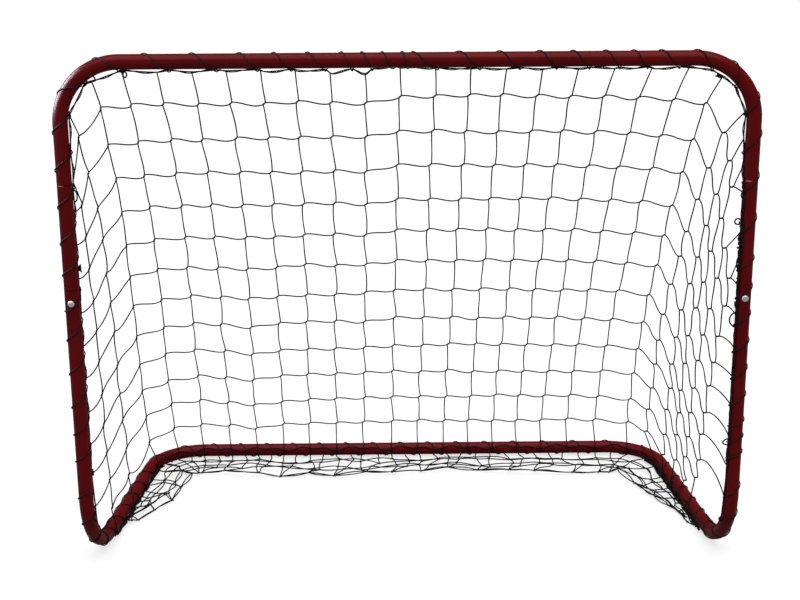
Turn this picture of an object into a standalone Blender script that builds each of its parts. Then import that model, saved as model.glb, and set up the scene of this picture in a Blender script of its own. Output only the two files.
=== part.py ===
"""Floorball goal: a bent steel tube frame in eight tubes, laced to a knotted net.

Metres, +Z up. The mouth of the goal faces -Y. The origin lies on the floor, at the middle of the
goal's box. The frame stands on the flats of the lacing cord that is wound round its base.
"""
import math

import bmesh
import bpy
from mathutils import Matrix, Vector

# Frame, outer sizes over the steel
FRAME_WIDTH = 1.150
FRAME_HEIGHT = 0.900
FRAME_DEPTH = 0.540
REAR_HALF_WIDTH = 0.5097
TOP_BEND_RADIUS = 0.100
FOOT_BEND_RADIUS = 0.120
REAR_BEND_RADIUS = 0.105

# Tube and its joints
TUBE_RADIUS = 0.0125
TUBE_WALL = 0.001
FIT_CLEARANCE = 0.0003
SHOULDER_LENGTH = 0.0015
UPPER_JOINT_HEIGHT = 0.688
UPPER_SPIGOT_LENGTH = 0.032
POST_JOINT_HEIGHT = 0.510
POST_SPIGOT_LENGTH = 0.045
SIDE_JOINT_DEPTH = 0.270
SIDE_SPIGOT_LENGTH = 0.040
SLEEVE_LENGTH = 0.090
SLEEVE_WALL = 0.0012
TUBE_SIDES = 16
BEND_STEPS = 8

# Screws and nuts of the post joints
SCREW_HEIGHT = 0.488
SCREW_RADIUS = 0.0025
SCREW_HOLE_CLEARANCE = 0.0003
SCREW_HEAD_RADIUS = 0.0058
SCREW_HEAD_HEIGHT = 0.0028
SCREW_END_STICKOUT = 0.0012
SCREW_END_RADIUS = 0.0020
SCREW_END_CHAMFER = 0.0005
SCREW_RIM_HEIGHT = 0.0011
SCREW_SHOULDER = (0.0050, 0.0022)
SCREW_CROWN_RADIUS = 0.0029
SCREW_SIDES = 16
RECESS_HALF_WIDTH = 0.0006
RECESS_REACH = 0.0028
RECESS_DEPTH = 0.0012
NUT_ACROSS_FLATS = 0.008
NUT_HEIGHT = 0.004
HOLE_SIDES = 16
SHARP_ANGLE = math.radians(35)

# Lacing cord, wound right-handed round the tubes
LACING_DIAMETER = 0.0024
LACING_POINTS_PER_TURN = 8
LACING_COURSE_RADIUS = 0.0156
LACING_TURN_OVER_EDGE_CORD = 0.0184
LACING_FLAT_DEPTH = LACING_DIAMETER / 4
LACING_HALF_FLAT = 0.00104
LACING_ABOVE_SCREW = 0.0115
TURNS_TO_SCREW = 6.25
TURNS_ON_POST = 12.75
SIDE_LACING_PITCH = 0.0535
TURNS_ON_SIDE = 8.75
PARTING_TURNS = 0.01
OVER_EDGE_CORD_COSINE = 0.99

# Edge cord of the net, inside the posts and under the crossbar
EDGE_CORD_RADIUS = 0.0015
EDGE_CORD_OFFSET = TUBE_RADIUS + FIT_CLEARANCE + EDGE_CORD_RADIUS
EDGE_CORD_SIDES = 8

# Net: columns counted from the middle one, rows counted from the crossbar
NET_CORD_RADIUS = 0.0009
NET_CORD_BACK = 0.0006
NET_HALF_COLUMNS = 9
NET_ROWS = 13
TOP_COLUMN_PITCH = 0.0566
TOP_SHIFT = -0.012
TOP_CORNER_STRETCH = 0.0102
BOTTOM_COLUMN_PITCH = 0.0573
BOTTOM_SHIFT = -0.030
BOTTOM_CORNER_STRETCH = 0.045
CORNER_STRETCH_POWER = 8
LEFT_BOW = 0.026
RIGHT_BOW = 0.062
RIGHT_BOW_POWER = 1.6
LEFT_ROW_LIFT = 0.14
RIGHT_ROW_LIFT = 0.30
OUTER_LIFT_LOSS = 0.6
OUTER_LIFT_POWER = 4
BOW_SWELL_POWER = 0.5
KNOT_LEAST_SINE = 0.4

# Side nets: where their upright strands stand, and how far their rows drop towards the post
LEFT_SIDE_SHARES = (0.42, 0.74)
LEFT_SIDE_DROPS = (0.027, 0.070)
LEFT_POST_DROP = 0.095
RIGHT_SIDE_STEPS = (0.055, 0.093, 0.120, 0.148, 0.175)
RIGHT_SIDE_DROPS = (0.028, 0.060, 0.100, 0.145, 0.185)
RIGHT_SIDE_FULL_DEPTH = 0.130
SIDE_NET_LEAST_DEPTH = 0.018
SIDE_NET_LOWEST = 0.060

# Loose net on the floor inside the base
FLOOR_NET_NEAR = 0.046
FLOOR_NET_FAR = 0.086
FLOOR_NET_ZIGZAG = 0.013
FLOOR_NET_RISE = 0.012
FLOOR_NET_LOW = 0.0016
FLOOR_NET_SIDE_COLUMNS = 4

# Finishes: linear colour, roughness, metallic
RED_PAINT = ((0.127, 0.008, 0.010), 0.25, 0.0)
BARE_STEEL = ((0.42, 0.42, 0.43), 0.40, 1.0)
ZINC = ((0.62, 0.62, 0.60), 0.35, 1.0)
BLACK_CORD = ((0.010, 0.010, 0.011), 0.80, 0.0)
BLACK_NET = ((0.012, 0.012, 0.013), 0.75, 0.0)

# Worked out from the sizes above
LACING_OUTER_REACH = LACING_COURSE_RADIUS + LACING_FLAT_DEPTH
LACING_FLAT_REACH = LACING_COURSE_RADIUS * math.cos(math.pi / LACING_POINTS_PER_TURN)
LACING_FLAT_REACH += LACING_FLAT_DEPTH * math.cos(math.pi / LACING_POINTS_PER_TURN)
BASE_Z = LACING_FLAT_REACH
FLOOR_TO_STEEL = BASE_Z - TUBE_RADIUS
TOP_Z = FLOOR_TO_STEEL + FRAME_HEIGHT - TUBE_RADIUS
AXIS_DEPTH = FRAME_DEPTH - 2 * TUBE_RADIUS
MOUTH_Y = -(AXIS_DEPTH + LACING_FLAT_REACH - LACING_OUTER_REACH) / 2
REAR_Y = MOUTH_Y + AXIS_DEPTH
POST_X = FRAME_WIDTH / 2 - TUBE_RADIUS
REAR_X = REAR_HALF_WIDTH
SPIGOT_RADIUS = TUBE_RADIUS - TUBE_WALL - FIT_CLEARANCE

AXIS_X = Vector((1, 0, 0))
AXIS_Y = Vector((0, 1, 0))
AXIS_Z = Vector((0, 0, 1))
FULL_TURN = 2 * math.pi


def clear_scene():
    """Remove what the scene holds before the goal is built."""
    for item in list(bpy.data.objects):
        bpy.data.objects.remove(item, do_unlink=True)


def finish_material(name, finish):
    """Make a Principled material from a colour, a roughness and a metallic value."""
    colour, roughness, metallic = finish
    material = bpy.data.materials.new(name)
    material.use_nodes = True
    shader = material.node_tree.nodes["Principled BSDF"]
    shader.inputs["Base Color"].default_value = (*colour, 1.0)
    shader.inputs["Roughness"].default_value = roughness
    shader.inputs["Metallic"].default_value = metallic
    material.diffuse_color = (*colour, 1.0)
    return material


def add_object(name, mesh, finish, parent, location=(0, 0, 0), rotation=(0, 0, 0)):
    """Put a mesh into the scene under its sub-part's name, with a material of its own."""
    mesh.shade_smooth()
    mesh.set_sharp_from_angle(angle=SHARP_ANGLE)
    mesh.materials.append(finish_material(name + "_finish", finish))
    item = bpy.data.objects.new(name, mesh)
    bpy.context.scene.collection.objects.link(item)
    item.parent = parent
    item.location = location
    item.rotation_euler = rotation
    return item


def mesh_from(name, bm):
    """Turn a bmesh into a mesh."""
    mesh = bpy.data.meshes.new(name)
    bm.to_mesh(mesh)
    bm.free()
    return mesh


# Paths of the tube's centre line

class Straight:
    """A straight run of tube."""

    def __init__(self, start, end):
        self.start = start
        self.length = (end - start).length
        self.heading = (end - start).normalized()

    def at(self, distance):
        return self.start + self.heading * distance, self.heading


class Bend:
    """A round bend between two headings whose straight runs would meet at a corner."""

    def __init__(self, corner, heading_in, heading_out, radius):
        self.turn = heading_in.angle(heading_out)
        reach = radius * math.tan(self.turn / 2)
        self.start = corner - heading_in * reach
        self.end = corner + heading_out * reach
        self.axis = heading_in.cross(heading_out).normalized()
        self.centre = self.start + self.axis.cross(heading_in) * radius
        self.heading = heading_in
        self.radius = radius
        self.length = self.turn * radius

    def at(self, distance):
        turned = Matrix.Rotation(distance / self.radius, 3, self.axis)
        return self.centre + turned @ (self.start - self.centre), turned @ self.heading


class Route:
    """One half of the frame's centre line, from the middle of a bar outwards on one side."""

    def __init__(self, runs):
        self.runs = runs
        self.starts = [sum(run.length for run in runs[:k]) for k in range(len(runs))]
        self.length = sum(run.length for run in runs)

    def at(self, distance):
        index = 0
        while index + 1 < len(self.runs) and distance > self.starts[index + 1]:
            index += 1
        point, heading = self.runs[index].at(distance - self.starts[index])
        return point, heading, index


def side_heading(side):
    """Heading of a base side, from the post to the rear corner."""
    return Vector((side * (REAR_X - POST_X), AXIS_DEPTH, 0)).normalized()


def upper_route(side):
    """Middle of the crossbar, top bend, post down to the foot bend."""
    corner = Vector((side * POST_X, MOUTH_Y, TOP_Z))
    bend = Bend(corner, AXIS_X * side, -AXIS_Z, TOP_BEND_RADIUS)
    foot = Vector((side * POST_X, MOUTH_Y, BASE_Z + FOOT_BEND_RADIUS))
    middle = Vector((0, MOUTH_Y, TOP_Z))
    return Route([Straight(middle, bend.start), bend, Straight(bend.end, foot)])


def base_route(side):
    """Middle of the rear bar, rear bend, base side and foot bend, up to the post."""
    heading = side_heading(side)
    corner = Vector((side * REAR_X, REAR_Y, BASE_Z))
    rear_bend = Bend(corner, AXIS_X * side, -heading, REAR_BEND_RADIUS)
    foot_corner = Vector((side * POST_X, MOUTH_Y, BASE_Z))
    foot_bend = Bend(foot_corner, -heading, AXIS_Z, FOOT_BEND_RADIUS)
    middle = Vector((0, REAR_Y, BASE_Z))
    joint = Vector((side * POST_X, MOUTH_Y, POST_JOINT_HEIGHT + FLOOR_TO_STEEL))
    return Route([Straight(middle, rear_bend.start), rear_bend,
                  Straight(rear_bend.end, foot_bend.start), foot_bend,
                  Straight(foot_bend.end, joint)])


UPPER = {side: upper_route(side) for side in (-1, 1)}
BASE = {side: base_route(side) for side in (-1, 1)}
TOP_BEND, UPPER_POST = 1, 2
REAR_BEND, BASE_SIDE, FOOT_BEND, LOWER_POST = 1, 2, 3, 4


def upper_spot(distance):
    """Point, heading from left to right and inner side, on the crossbar and the posts."""
    side = 1 if distance >= 0 else -1
    point, heading, _ = UPPER[side].at(abs(distance))
    heading = heading * side
    return point, heading, AXIS_Y.cross(heading)


def base_spot(distance):
    """Point, heading from left to right and inner side, on the rear bar and base sides."""
    side = 1 if distance >= 0 else -1
    point, heading, run = BASE[side].at(abs(distance))
    flat = heading
    if run >= FOOT_BEND:
        flat = BASE[side].runs[BASE_SIDE].heading
    return point, heading * side, flat.cross(AXIS_Z) * side


# Tubes

def ring(bm, centre, heading, inner, apothem, sides):
    """A ring of vertices round a centre, with a flat facing the inner side."""
    across = heading.cross(inner)
    radius = apothem / math.cos(math.pi / sides)
    spots = []
    for k in range(sides):
        angle = (k + 0.5) * FULL_TURN / sides
        spoke = inner * math.cos(angle) + across * math.sin(angle)
        spots.append(bm.verts.new(centre + spoke * radius))
    return spots


def hollow_tube(name, stations):
    """Sweep a tube through stations of (centre, heading, inner side, outer, bore radius)."""
    bm = bmesh.new()
    outer = [ring(bm, c, h, n, r, TUBE_SIDES) for c, h, n, r, _ in stations]
    bore = [ring(bm, c, h, n, b, TUBE_SIDES) for c, h, n, _, b in stations]
    for k in range(TUBE_SIDES):
        j = (k + 1) % TUBE_SIDES
        for one, two in zip(outer, outer[1:]):
            bm.faces.new((one[k], one[j], two[j], two[k]))
        for one, two in zip(bore, bore[1:]):
            bm.faces.new((one[j], one[k], two[k], two[j]))
        bm.faces.new((outer[0][k], bore[0][k], bore[0][j], outer[0][j]))
        bm.faces.new((outer[-1][k], outer[-1][j], bore[-1][j], bore[-1][k]))
    return mesh_from(name, bm)


def solid_rod(name, stations, sides):
    """Sweep a solid rod through stations of (centre, heading, inner side, radius)."""
    bm = bmesh.new()
    rings = [ring(bm, c, h, n, r, sides) for c, h, n, r in stations]
    for k in range(sides):
        j = (k + 1) % sides
        for one, two in zip(rings, rings[1:]):
            bm.faces.new((one[k], one[j], two[j], two[k]))
    bm.faces.new(list(reversed(rings[0])))
    bm.faces.new(rings[-1])
    return mesh_from(name, bm)


def plain(spot):
    """Station of the full tube at a spot of the centre line."""
    point, heading, inner = spot
    return point, heading, inner, TUBE_RADIUS, TUBE_RADIUS - TUBE_WALL


def spigot(spot, length):
    """Stations of a drawn-in end that starts at a spot and goes on along its heading."""
    point, heading, inner = spot
    bore = SPIGOT_RADIUS - TUBE_WALL
    neck = point + heading * SHOULDER_LENGTH
    end = point + heading * length
    return [(neck, heading, inner, SPIGOT_RADIUS, bore), (end, heading, inner, SPIGOT_RADIUS, bore)]


def bend_spots(route, index, spot_at, side):
    """Spots round a bend, from its start to its end."""
    start = route.starts[index]
    length = route.runs[index].length
    return [outward(spot_at(side * (start + length * k / BEND_STEPS)), side)
            for k in range(BEND_STEPS + 1)]


def outward(spot, side):
    """The same spot with its heading away from the middle of the goal."""
    point, heading, inner = spot
    return point, heading * side, inner


def upper_corner_tube(side):
    """Half of the crossbar, the top bend and a short drop with a spigot at its end."""
    route = UPPER[side]
    start = outward(upper_spot(side * FIT_CLEARANCE / 2), side)
    bend = bend_spots(route, TOP_BEND, upper_spot, side)
    joint = Vector((side * POST_X, MOUTH_Y, UPPER_JOINT_HEIGHT + FLOOR_TO_STEEL))
    shoulder = (joint + AXIS_Z * (SHOULDER_LENGTH + FIT_CLEARANCE), -AXIS_Z, -AXIS_X * side)
    stations = [plain(start)] + [plain(spot) for spot in bend] + [plain(shoulder)]
    return stations + spigot(shoulder, UPPER_SPIGOT_LENGTH)


def post_tube(side):
    """The straight middle of a post, a socket at its top and a spigot at its lower end."""
    top = Vector((side * POST_X, MOUTH_Y, UPPER_JOINT_HEIGHT + FLOOR_TO_STEEL))
    foot = Vector((side * POST_X, MOUTH_Y, POST_JOINT_HEIGHT + FLOOR_TO_STEEL))
    inner = -AXIS_X * side
    shoulder = (foot + AXIS_Z * (SHOULDER_LENGTH + FIT_CLEARANCE), -AXIS_Z, inner)
    stations = [plain((top, -AXIS_Z, inner)), plain(shoulder)]
    return stations + spigot(shoulder, POST_SPIGOT_LENGTH)


def side_joint_distance(side):
    """How far along the base route the joint in a base side lies."""
    foot_corner = Vector((side * POST_X, MOUTH_Y, BASE_Z))
    joint = foot_corner + side_heading(side) * (SIDE_JOINT_DEPTH / side_heading(side).y)
    run = BASE[side].runs[BASE_SIDE]
    return BASE[side].starts[BASE_SIDE] + (joint - run.start).length


def foot_tube(side):
    """The lower post, the foot bend and the front of a base side, from the top down."""
    rim = Vector((side * POST_X, MOUTH_Y, POST_JOINT_HEIGHT + FLOOR_TO_STEEL))
    spots = bend_spots(BASE[side], FOOT_BEND, base_spot, side)
    spots.insert(0, outward(base_spot(side * side_joint_distance(side)), side))
    stations = [plain(spot) for spot in spots]
    return stations + [plain((rim, AXIS_Z, -AXIS_X * side))]


def rear_corner_tube(side):
    """Half of the rear bar, the rear bend and the rear of a base side, with a spigot."""
    start = outward(base_spot(side * FIT_CLEARANCE / 2), side)
    bend = bend_spots(BASE[side], REAR_BEND, base_spot, side)
    reach = side_joint_distance(side) - SHOULDER_LENGTH - FIT_CLEARANCE
    shoulder = outward(base_spot(side * reach), side)
    stations = [plain(start)] + [plain(spot) for spot in bend] + [plain(shoulder)]
    return stations + spigot(shoulder, SIDE_SPIGOT_LENGTH)


def joint_sleeve():
    """A short inner tube across the seam of two half bars, lying along X."""
    ends = [(AXIS_X * (SLEEVE_LENGTH * k), AXIS_X, -AXIS_Z) for k in (-0.5, 0.5)]
    return [(*end, SPIGOT_RADIUS, SPIGOT_RADIUS - SLEEVE_WALL) for end in ends]


# Screws and nuts

def turned_solid(name, profile, sides):
    """Turn a profile of (radius, height) about Z; its first and last points lie on the axis."""
    bm = bmesh.new()
    bottom = bm.verts.new((0, 0, profile[0][1]))
    top = bm.verts.new((0, 0, profile[-1][1]))
    rings = []
    for radius, height in profile[1:-1]:
        rings.append([bm.verts.new((radius * math.cos(FULL_TURN * k / sides),
                                    radius * math.sin(FULL_TURN * k / sides), height))
                      for k in range(sides)])
    for k in range(sides):
        j = (k + 1) % sides
        bm.faces.new((bottom, rings[0][j], rings[0][k]))
        bm.faces.new((top, rings[-1][k], rings[-1][j]))
        for one, two in zip(rings, rings[1:]):
            bm.faces.new((one[k], one[j], two[j], two[k]))
    return mesh_from(name, bm)


def post_screw(name):
    """Pan head screw, its head above Z = 0 and its shank below."""
    length = 2 * TUBE_RADIUS + 2 * FIT_CLEARANCE + NUT_HEIGHT + SCREW_END_STICKOUT
    profile = [(0, -length), (SCREW_END_RADIUS, -length),
               (SCREW_RADIUS, SCREW_END_CHAMFER - length), (SCREW_RADIUS, 0),
               (SCREW_HEAD_RADIUS, 0), (SCREW_HEAD_RADIUS, SCREW_RIM_HEIGHT), SCREW_SHOULDER,
               (SCREW_CROWN_RADIUS, SCREW_HEAD_HEIGHT), (0, SCREW_HEAD_HEIGHT)]
    return turned_solid(name, profile, SCREW_SIDES)


def cross_recess(name):
    """Cutter for the cross recess in a screw head."""
    bm = bmesh.new()
    half, reach = RECESS_HALF_WIDTH, RECESS_REACH
    quarter = [(reach, -half), (reach, half), (half, half)]
    outline = []
    for k in range(4):
        turned = Matrix.Rotation(k * math.pi / 2, 3, "Z")
        outline += [turned @ Vector((x, y, 0)) for x, y in quarter]
    low = SCREW_HEAD_HEIGHT - RECESS_DEPTH
    face = bm.faces.new([bm.verts.new(spot + AXIS_Z * low) for spot in outline])
    grown = bmesh.ops.extrude_face_region(bm, geom=[face])
    raised = [item for item in grown["geom"] if isinstance(item, bmesh.types.BMVert)]
    bmesh.ops.translate(bm, verts=raised, vec=AXIS_Z * 2 * RECESS_DEPTH)
    bmesh.ops.recalc_face_normals(bm, faces=bm.faces)
    return mesh_from(name, bm)


def hex_nut(name):
    """Hexagon nut with its bore along Z, standing on Z = 0."""
    sides = 12
    bm = bmesh.new()
    rings = []
    for height in (0, NUT_HEIGHT):
        outer, bore = [], []
        for k in range(sides):
            angle = FULL_TURN * k / sides
            spoke = Vector((math.cos(angle), math.sin(angle), 0))
            off_flat = (angle + math.pi / 6) % (math.pi / 3) - math.pi / 6
            outer.append(bm.verts.new(spoke * NUT_ACROSS_FLATS / 2 / math.cos(off_flat)
                                      + AXIS_Z * height))
            bore.append(bm.verts.new(spoke * (SCREW_RADIUS + SCREW_HOLE_CLEARANCE)
                                     + AXIS_Z * height))
        rings.append((outer, bore))
    (low, low_bore), (high, high_bore) = rings
    for k in range(sides):
        j = (k + 1) % sides
        bm.faces.new((low[k], low[j], high[j], high[k]))
        bm.faces.new((low_bore[j], low_bore[k], high_bore[k], high_bore[j]))
        bm.faces.new((low[j], low[k], low_bore[k], low_bore[j]))
        bm.faces.new((high[k], high[j], high_bore[j], high_bore[k]))
    return mesh_from(name, bm)


def hide_cutter(item):
    """Keep a cutter out of the model."""
    item.hide_render = True
    item.display_type = "WIRE"


def cut(item, cutter):
    """Cut one solid out of another."""
    modifier = item.modifiers.new("cut_" + cutter.name, "BOOLEAN")
    modifier.operation = "DIFFERENCE"
    modifier.solver = "EXACT"
    modifier.object = cutter


# Lacing

def stretch(share, amount):
    """Extra length that the outermost columns take towards a corner."""
    return math.copysign(amount * abs(share) ** CORNER_STRETCH_POWER, share)


def top_distance(column):
    """Where a net column hangs, as a distance along the crossbar from its middle."""
    share = column / NET_HALF_COLUMNS
    shift = TOP_SHIFT * (1 - share ** 2)
    return column * TOP_COLUMN_PITCH + shift + stretch(share, TOP_CORNER_STRETCH)


def bottom_distance(column):
    """Where a net column is tied, as a distance along the rear bar from its middle."""
    share = column / NET_HALF_COLUMNS
    shift = BOTTOM_SHIFT * (1 - share ** 2)
    return column * BOTTOM_COLUMN_PITCH + shift + stretch(share, BOTTOM_CORNER_STRETCH)


LAST_TURN = NET_HALF_COLUMNS + 0.5


def post_pitch(side):
    """Pitch of the lacing on a post, set so that no turn crosses the screw or the nut."""
    screw = UPPER[side].starts[UPPER_POST] + TOP_Z - TOP_BEND_RADIUS
    screw -= SCREW_HEIGHT + FLOOR_TO_STEEL + LACING_ABOVE_SCREW
    return (screw - abs(top_distance(side * LAST_TURN))) / TURNS_TO_SCREW


def upper_lacing_distance(turn):
    """Distance along the upper route that the lacing has reached at a turn."""
    beyond = abs(turn) - LAST_TURN
    if beyond <= 0:
        return top_distance(turn)
    side = 1 if turn > 0 else -1
    return top_distance(side * LAST_TURN) + side * beyond * post_pitch(side)


def base_lacing_distance(turn):
    """Distance along the base route that the lacing has reached at a turn."""
    beyond = abs(turn) - LAST_TURN
    if beyond <= 0:
        return bottom_distance(turn)
    side = 1 if turn > 0 else -1
    return bottom_distance(side * LAST_TURN) + side * beyond * SIDE_LACING_PITCH


def upper_lacing_point(turn):
    """Centre of the tube, heading, spoke and course radius of the lacing at a turn."""
    point, heading, inner = upper_spot(upper_lacing_distance(turn))
    angle = (turn - 0.5) * FULL_TURN
    spoke = inner * math.cos(angle) + heading.cross(inner) * math.sin(angle)
    over = math.cos(angle) > OVER_EDGE_CORD_COSINE
    return point, heading, spoke, LACING_TURN_OVER_EDGE_CORD if over else LACING_COURSE_RADIUS


def base_lacing_point(turn):
    """The same for the lacing of the base, which has a flat straight below the tube."""
    point, heading, inner = base_spot(base_lacing_distance(turn))
    angle = (turn - 0.5) * FULL_TURN - math.pi / 4
    spoke = inner * math.cos(angle) + heading.cross(inner) * math.sin(angle)
    return point, heading, spoke, LACING_COURSE_RADIUS


def turn_steps(first, last, phase):
    """The turns at which the cord has a point: whole eighths, and the cord's two ends."""
    count = LACING_POINTS_PER_TURN
    steps = range(math.ceil(first * count - phase), math.floor(last * count - phase) + 1)
    inside = [(step + phase) / count for step in steps]
    return [turn for turn in inside if first <= turn <= last]


def wound_cord(name, point_at, first, last, phase):
    """A cord wound round the tube, three-sided, with its flat side outwards."""
    bm = bmesh.new()
    rows = []
    centres = []
    for turn in turn_steps(first, last, phase):
        point, heading, spoke, radius = point_at(turn)
        flat = point + spoke * (radius + LACING_FLAT_DEPTH)
        ridge = point + spoke * (radius - LACING_DIAMETER / 2)
        ahead = heading * LACING_HALF_FLAT
        rows.append([bm.verts.new(flat + ahead), bm.verts.new(flat - ahead), bm.verts.new(ridge)])
        centres.append(point + spoke * radius)
    for one, two in zip(rows, rows[1:]):
        bm.faces.new((one[1], two[1], two[0], one[0]))
        bm.faces.new((one[0], two[0], two[2], one[2]))
        bm.faces.new((one[2], two[2], two[1], one[1]))
    bm.faces.new((rows[0][0], rows[0][2], rows[0][1]))
    bm.faces.new((rows[-1][0], rows[-1][1], rows[-1][2]))
    print(name, "least gap to itself", round(1000 * least_gap(centres), 2), "mm")
    return mesh_from(name, bm)


def least_gap(centres):
    """Least gap between stretches of a wound cord that are more than half a turn apart."""
    skip = LACING_POINTS_PER_TURN // 2
    gaps = [(one - two).length
            for k, one in enumerate(centres) for two in centres[k + skip:]]
    return min(gaps) - LACING_DIAMETER


# Net

def knotted_net(name, knots, strands, facing):
    """One body of strands between knots: each three-sided, with its ridge to the facing side.

    knots maps a key to a point, strands are pairs of keys. A knot with one strand is an end.
    """
    bm = bmesh.new()
    near = {key: [] for key in knots}
    for one, two in strands:
        near[one].append(two)
        near[two].append(one)
    first_axis = facing.orthogonal().normalized()
    second_axis = facing.cross(first_axis)
    ridge, left, right = {}, {}, {}
    for key, point in knots.items():
        if not near[key]:
            continue
        bearings = []
        for other in near[key]:
            away = knots[other] - point
            bearings.append((math.atan2(away.dot(second_axis), away.dot(first_axis)), other))
        bearings.sort()
        ridge[key] = bm.verts.new(point + facing * NET_CORD_RADIUS)
        low = point - facing * NET_CORD_BACK
        if len(bearings) == 1:
            angle, other = bearings[0]
            across = second_axis * math.cos(angle) - first_axis * math.sin(angle)
            left[key, other] = bm.verts.new(low + across * NET_CORD_RADIUS)
            right[key, other] = bm.verts.new(low - across * NET_CORD_RADIUS)
            bm.faces.new((ridge[key], left[key, other], right[key, other]))
            continue
        corners = []
        for k, (angle, other) in enumerate(bearings):
            next_angle, next_other = bearings[(k + 1) % len(bearings)]
            gap = (next_angle - angle) % FULL_TURN
            reach = NET_CORD_RADIUS / max(math.sin(gap / 2), KNOT_LEAST_SINE)
            middle = angle + gap / 2
            spoke = first_axis * math.cos(middle) + second_axis * math.sin(middle)
            corner = bm.verts.new(low + spoke * reach)
            left[key, other] = corner
            right[key, next_other] = corner
            corners.append(corner)
        if len(corners) > 2:
            bm.faces.new(list(reversed(corners)))
    for one, two in strands:
        bm.faces.new((ridge[one], ridge[two], right[two, one], left[one, two]))
        bm.faces.new((ridge[two], ridge[one], right[one, two], left[two, one]))
        bm.faces.new((left[one, two], right[two, one], left[two, one], right[one, two]))
    return mesh_from(name, bm)


def square_to(direction, heading):
    """Unit vector of a direction's part that is square to a heading."""
    return (direction - heading * direction.dot(heading)).normalized()


def column_ends(column):
    """Upper end of a net column on the edge cord and lower end on the base tube."""
    point, upper_heading, inner = upper_spot(top_distance(column))
    hung = point + inner * EDGE_CORD_OFFSET
    tied, lower_heading, _ = base_spot(bottom_distance(column))
    down = tied - hung
    edge_surface = EDGE_CORD_RADIUS / math.cos(math.pi / EDGE_CORD_SIDES) + NET_CORD_RADIUS
    tube_surface = TUBE_RADIUS / math.cos(math.pi / TUBE_SIDES) + NET_CORD_RADIUS
    upper = hung + square_to(down, upper_heading) * edge_surface
    return upper, tied + square_to(-down, lower_heading) * tube_surface


def back_knot(row, column):
    """Place of a knot of the back net; rows 0 and NET_ROWS are the ends of a column.

    A row is near level, and hangs a little higher on the right than on the left. The columns
    bow towards the middle of the net, the outer ones most.
    """
    upper, lower = column_ends(column)
    if row in (0, NET_ROWS):
        return upper if row == 0 else lower
    down = row / NET_ROWS
    share = abs(column) / NET_HALF_COLUMNS
    lift = RIGHT_ROW_LIFT if column >= 0 else LEFT_ROW_LIFT
    down -= lift * (1 - OUTER_LIFT_LOSS * share ** OUTER_LIFT_POWER) * (1 - down ** 2) / NET_ROWS
    middle_upper, middle_lower = column_ends(0)
    height = middle_upper.z + (middle_lower.z - middle_upper.z) * down
    spot = upper.lerp(lower, (upper.z - height) / (upper.z - lower.z))
    swell = math.sin(math.pi * down) ** BOW_SWELL_POWER
    if column > 0:
        return spot - AXIS_X * (RIGHT_BOW * share ** RIGHT_BOW_POWER * swell)
    return spot + AXIS_X * (LEFT_BOW * share * swell * (1 - down))


def back_facing():
    """Unit vector square to the back net's slope, towards the mouth."""
    upper, lower = column_ends(0)
    return (lower - upper).cross(AXIS_X).normalized() * -1


def net_back():
    """Knots and strands of the sloping back net."""
    columns = range(-NET_HALF_COLUMNS, NET_HALF_COLUMNS + 1)
    knots = {(row, column): back_knot(row, column)
             for row in range(NET_ROWS + 1) for column in columns}
    strands = [((row, column), (row + 1, column)) for row in range(NET_ROWS) for column in columns]
    strands += [((row, column), (row, column + 1))
                for row in range(1, NET_ROWS) for column in columns[:-1]]
    return knots, strands


def between_post_turns(side, height):
    """The height nearest to the given one that lies midway between two turns on a post."""
    reach = UPPER[side].starts[UPPER_POST] + TOP_Z - TOP_BEND_RADIUS - height
    pitch = post_pitch(side)
    turns = (reach - abs(top_distance(side * LAST_TURN))) / pitch
    midway = max(round(turns - 0.5), 0) + 0.5
    return height + (turns - midway) * pitch


def post_end(side, height, last_knot):
    """End of a side net's row on the edge cord of the post, coming from its last knot."""
    cord = Vector((side * (POST_X - EDGE_CORD_OFFSET), MOUTH_Y, between_post_turns(side, height)))
    surface = EDGE_CORD_RADIUS / math.cos(math.pi / EDGE_CORD_SIDES) + NET_CORD_RADIUS
    return cord + square_to(last_knot - cord, AXIS_Z) * surface


def base_end(side, depth):
    """End of a side net's upright strand on top of the base side, between two turns."""
    run = BASE[side].runs[BASE_SIDE]
    before = BASE[side].starts[BASE_SIDE] - abs(bottom_distance(side * LAST_TURN))
    wanted = (before + (run.start.y - depth) / abs(run.heading.y)) / SIDE_LACING_PITCH
    greatest = (before + run.length) / SIDE_LACING_PITCH
    turn = min(max(round(wanted - 0.5), 0), math.floor(greatest - 0.5)) + 0.5
    point, _, _ = base_spot(base_lacing_distance(side * (LAST_TURN + turn)))
    return point + AXIS_Z * (TUBE_RADIUS / math.cos(math.pi / TUBE_SIDES) + NET_CORD_RADIUS)


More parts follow.
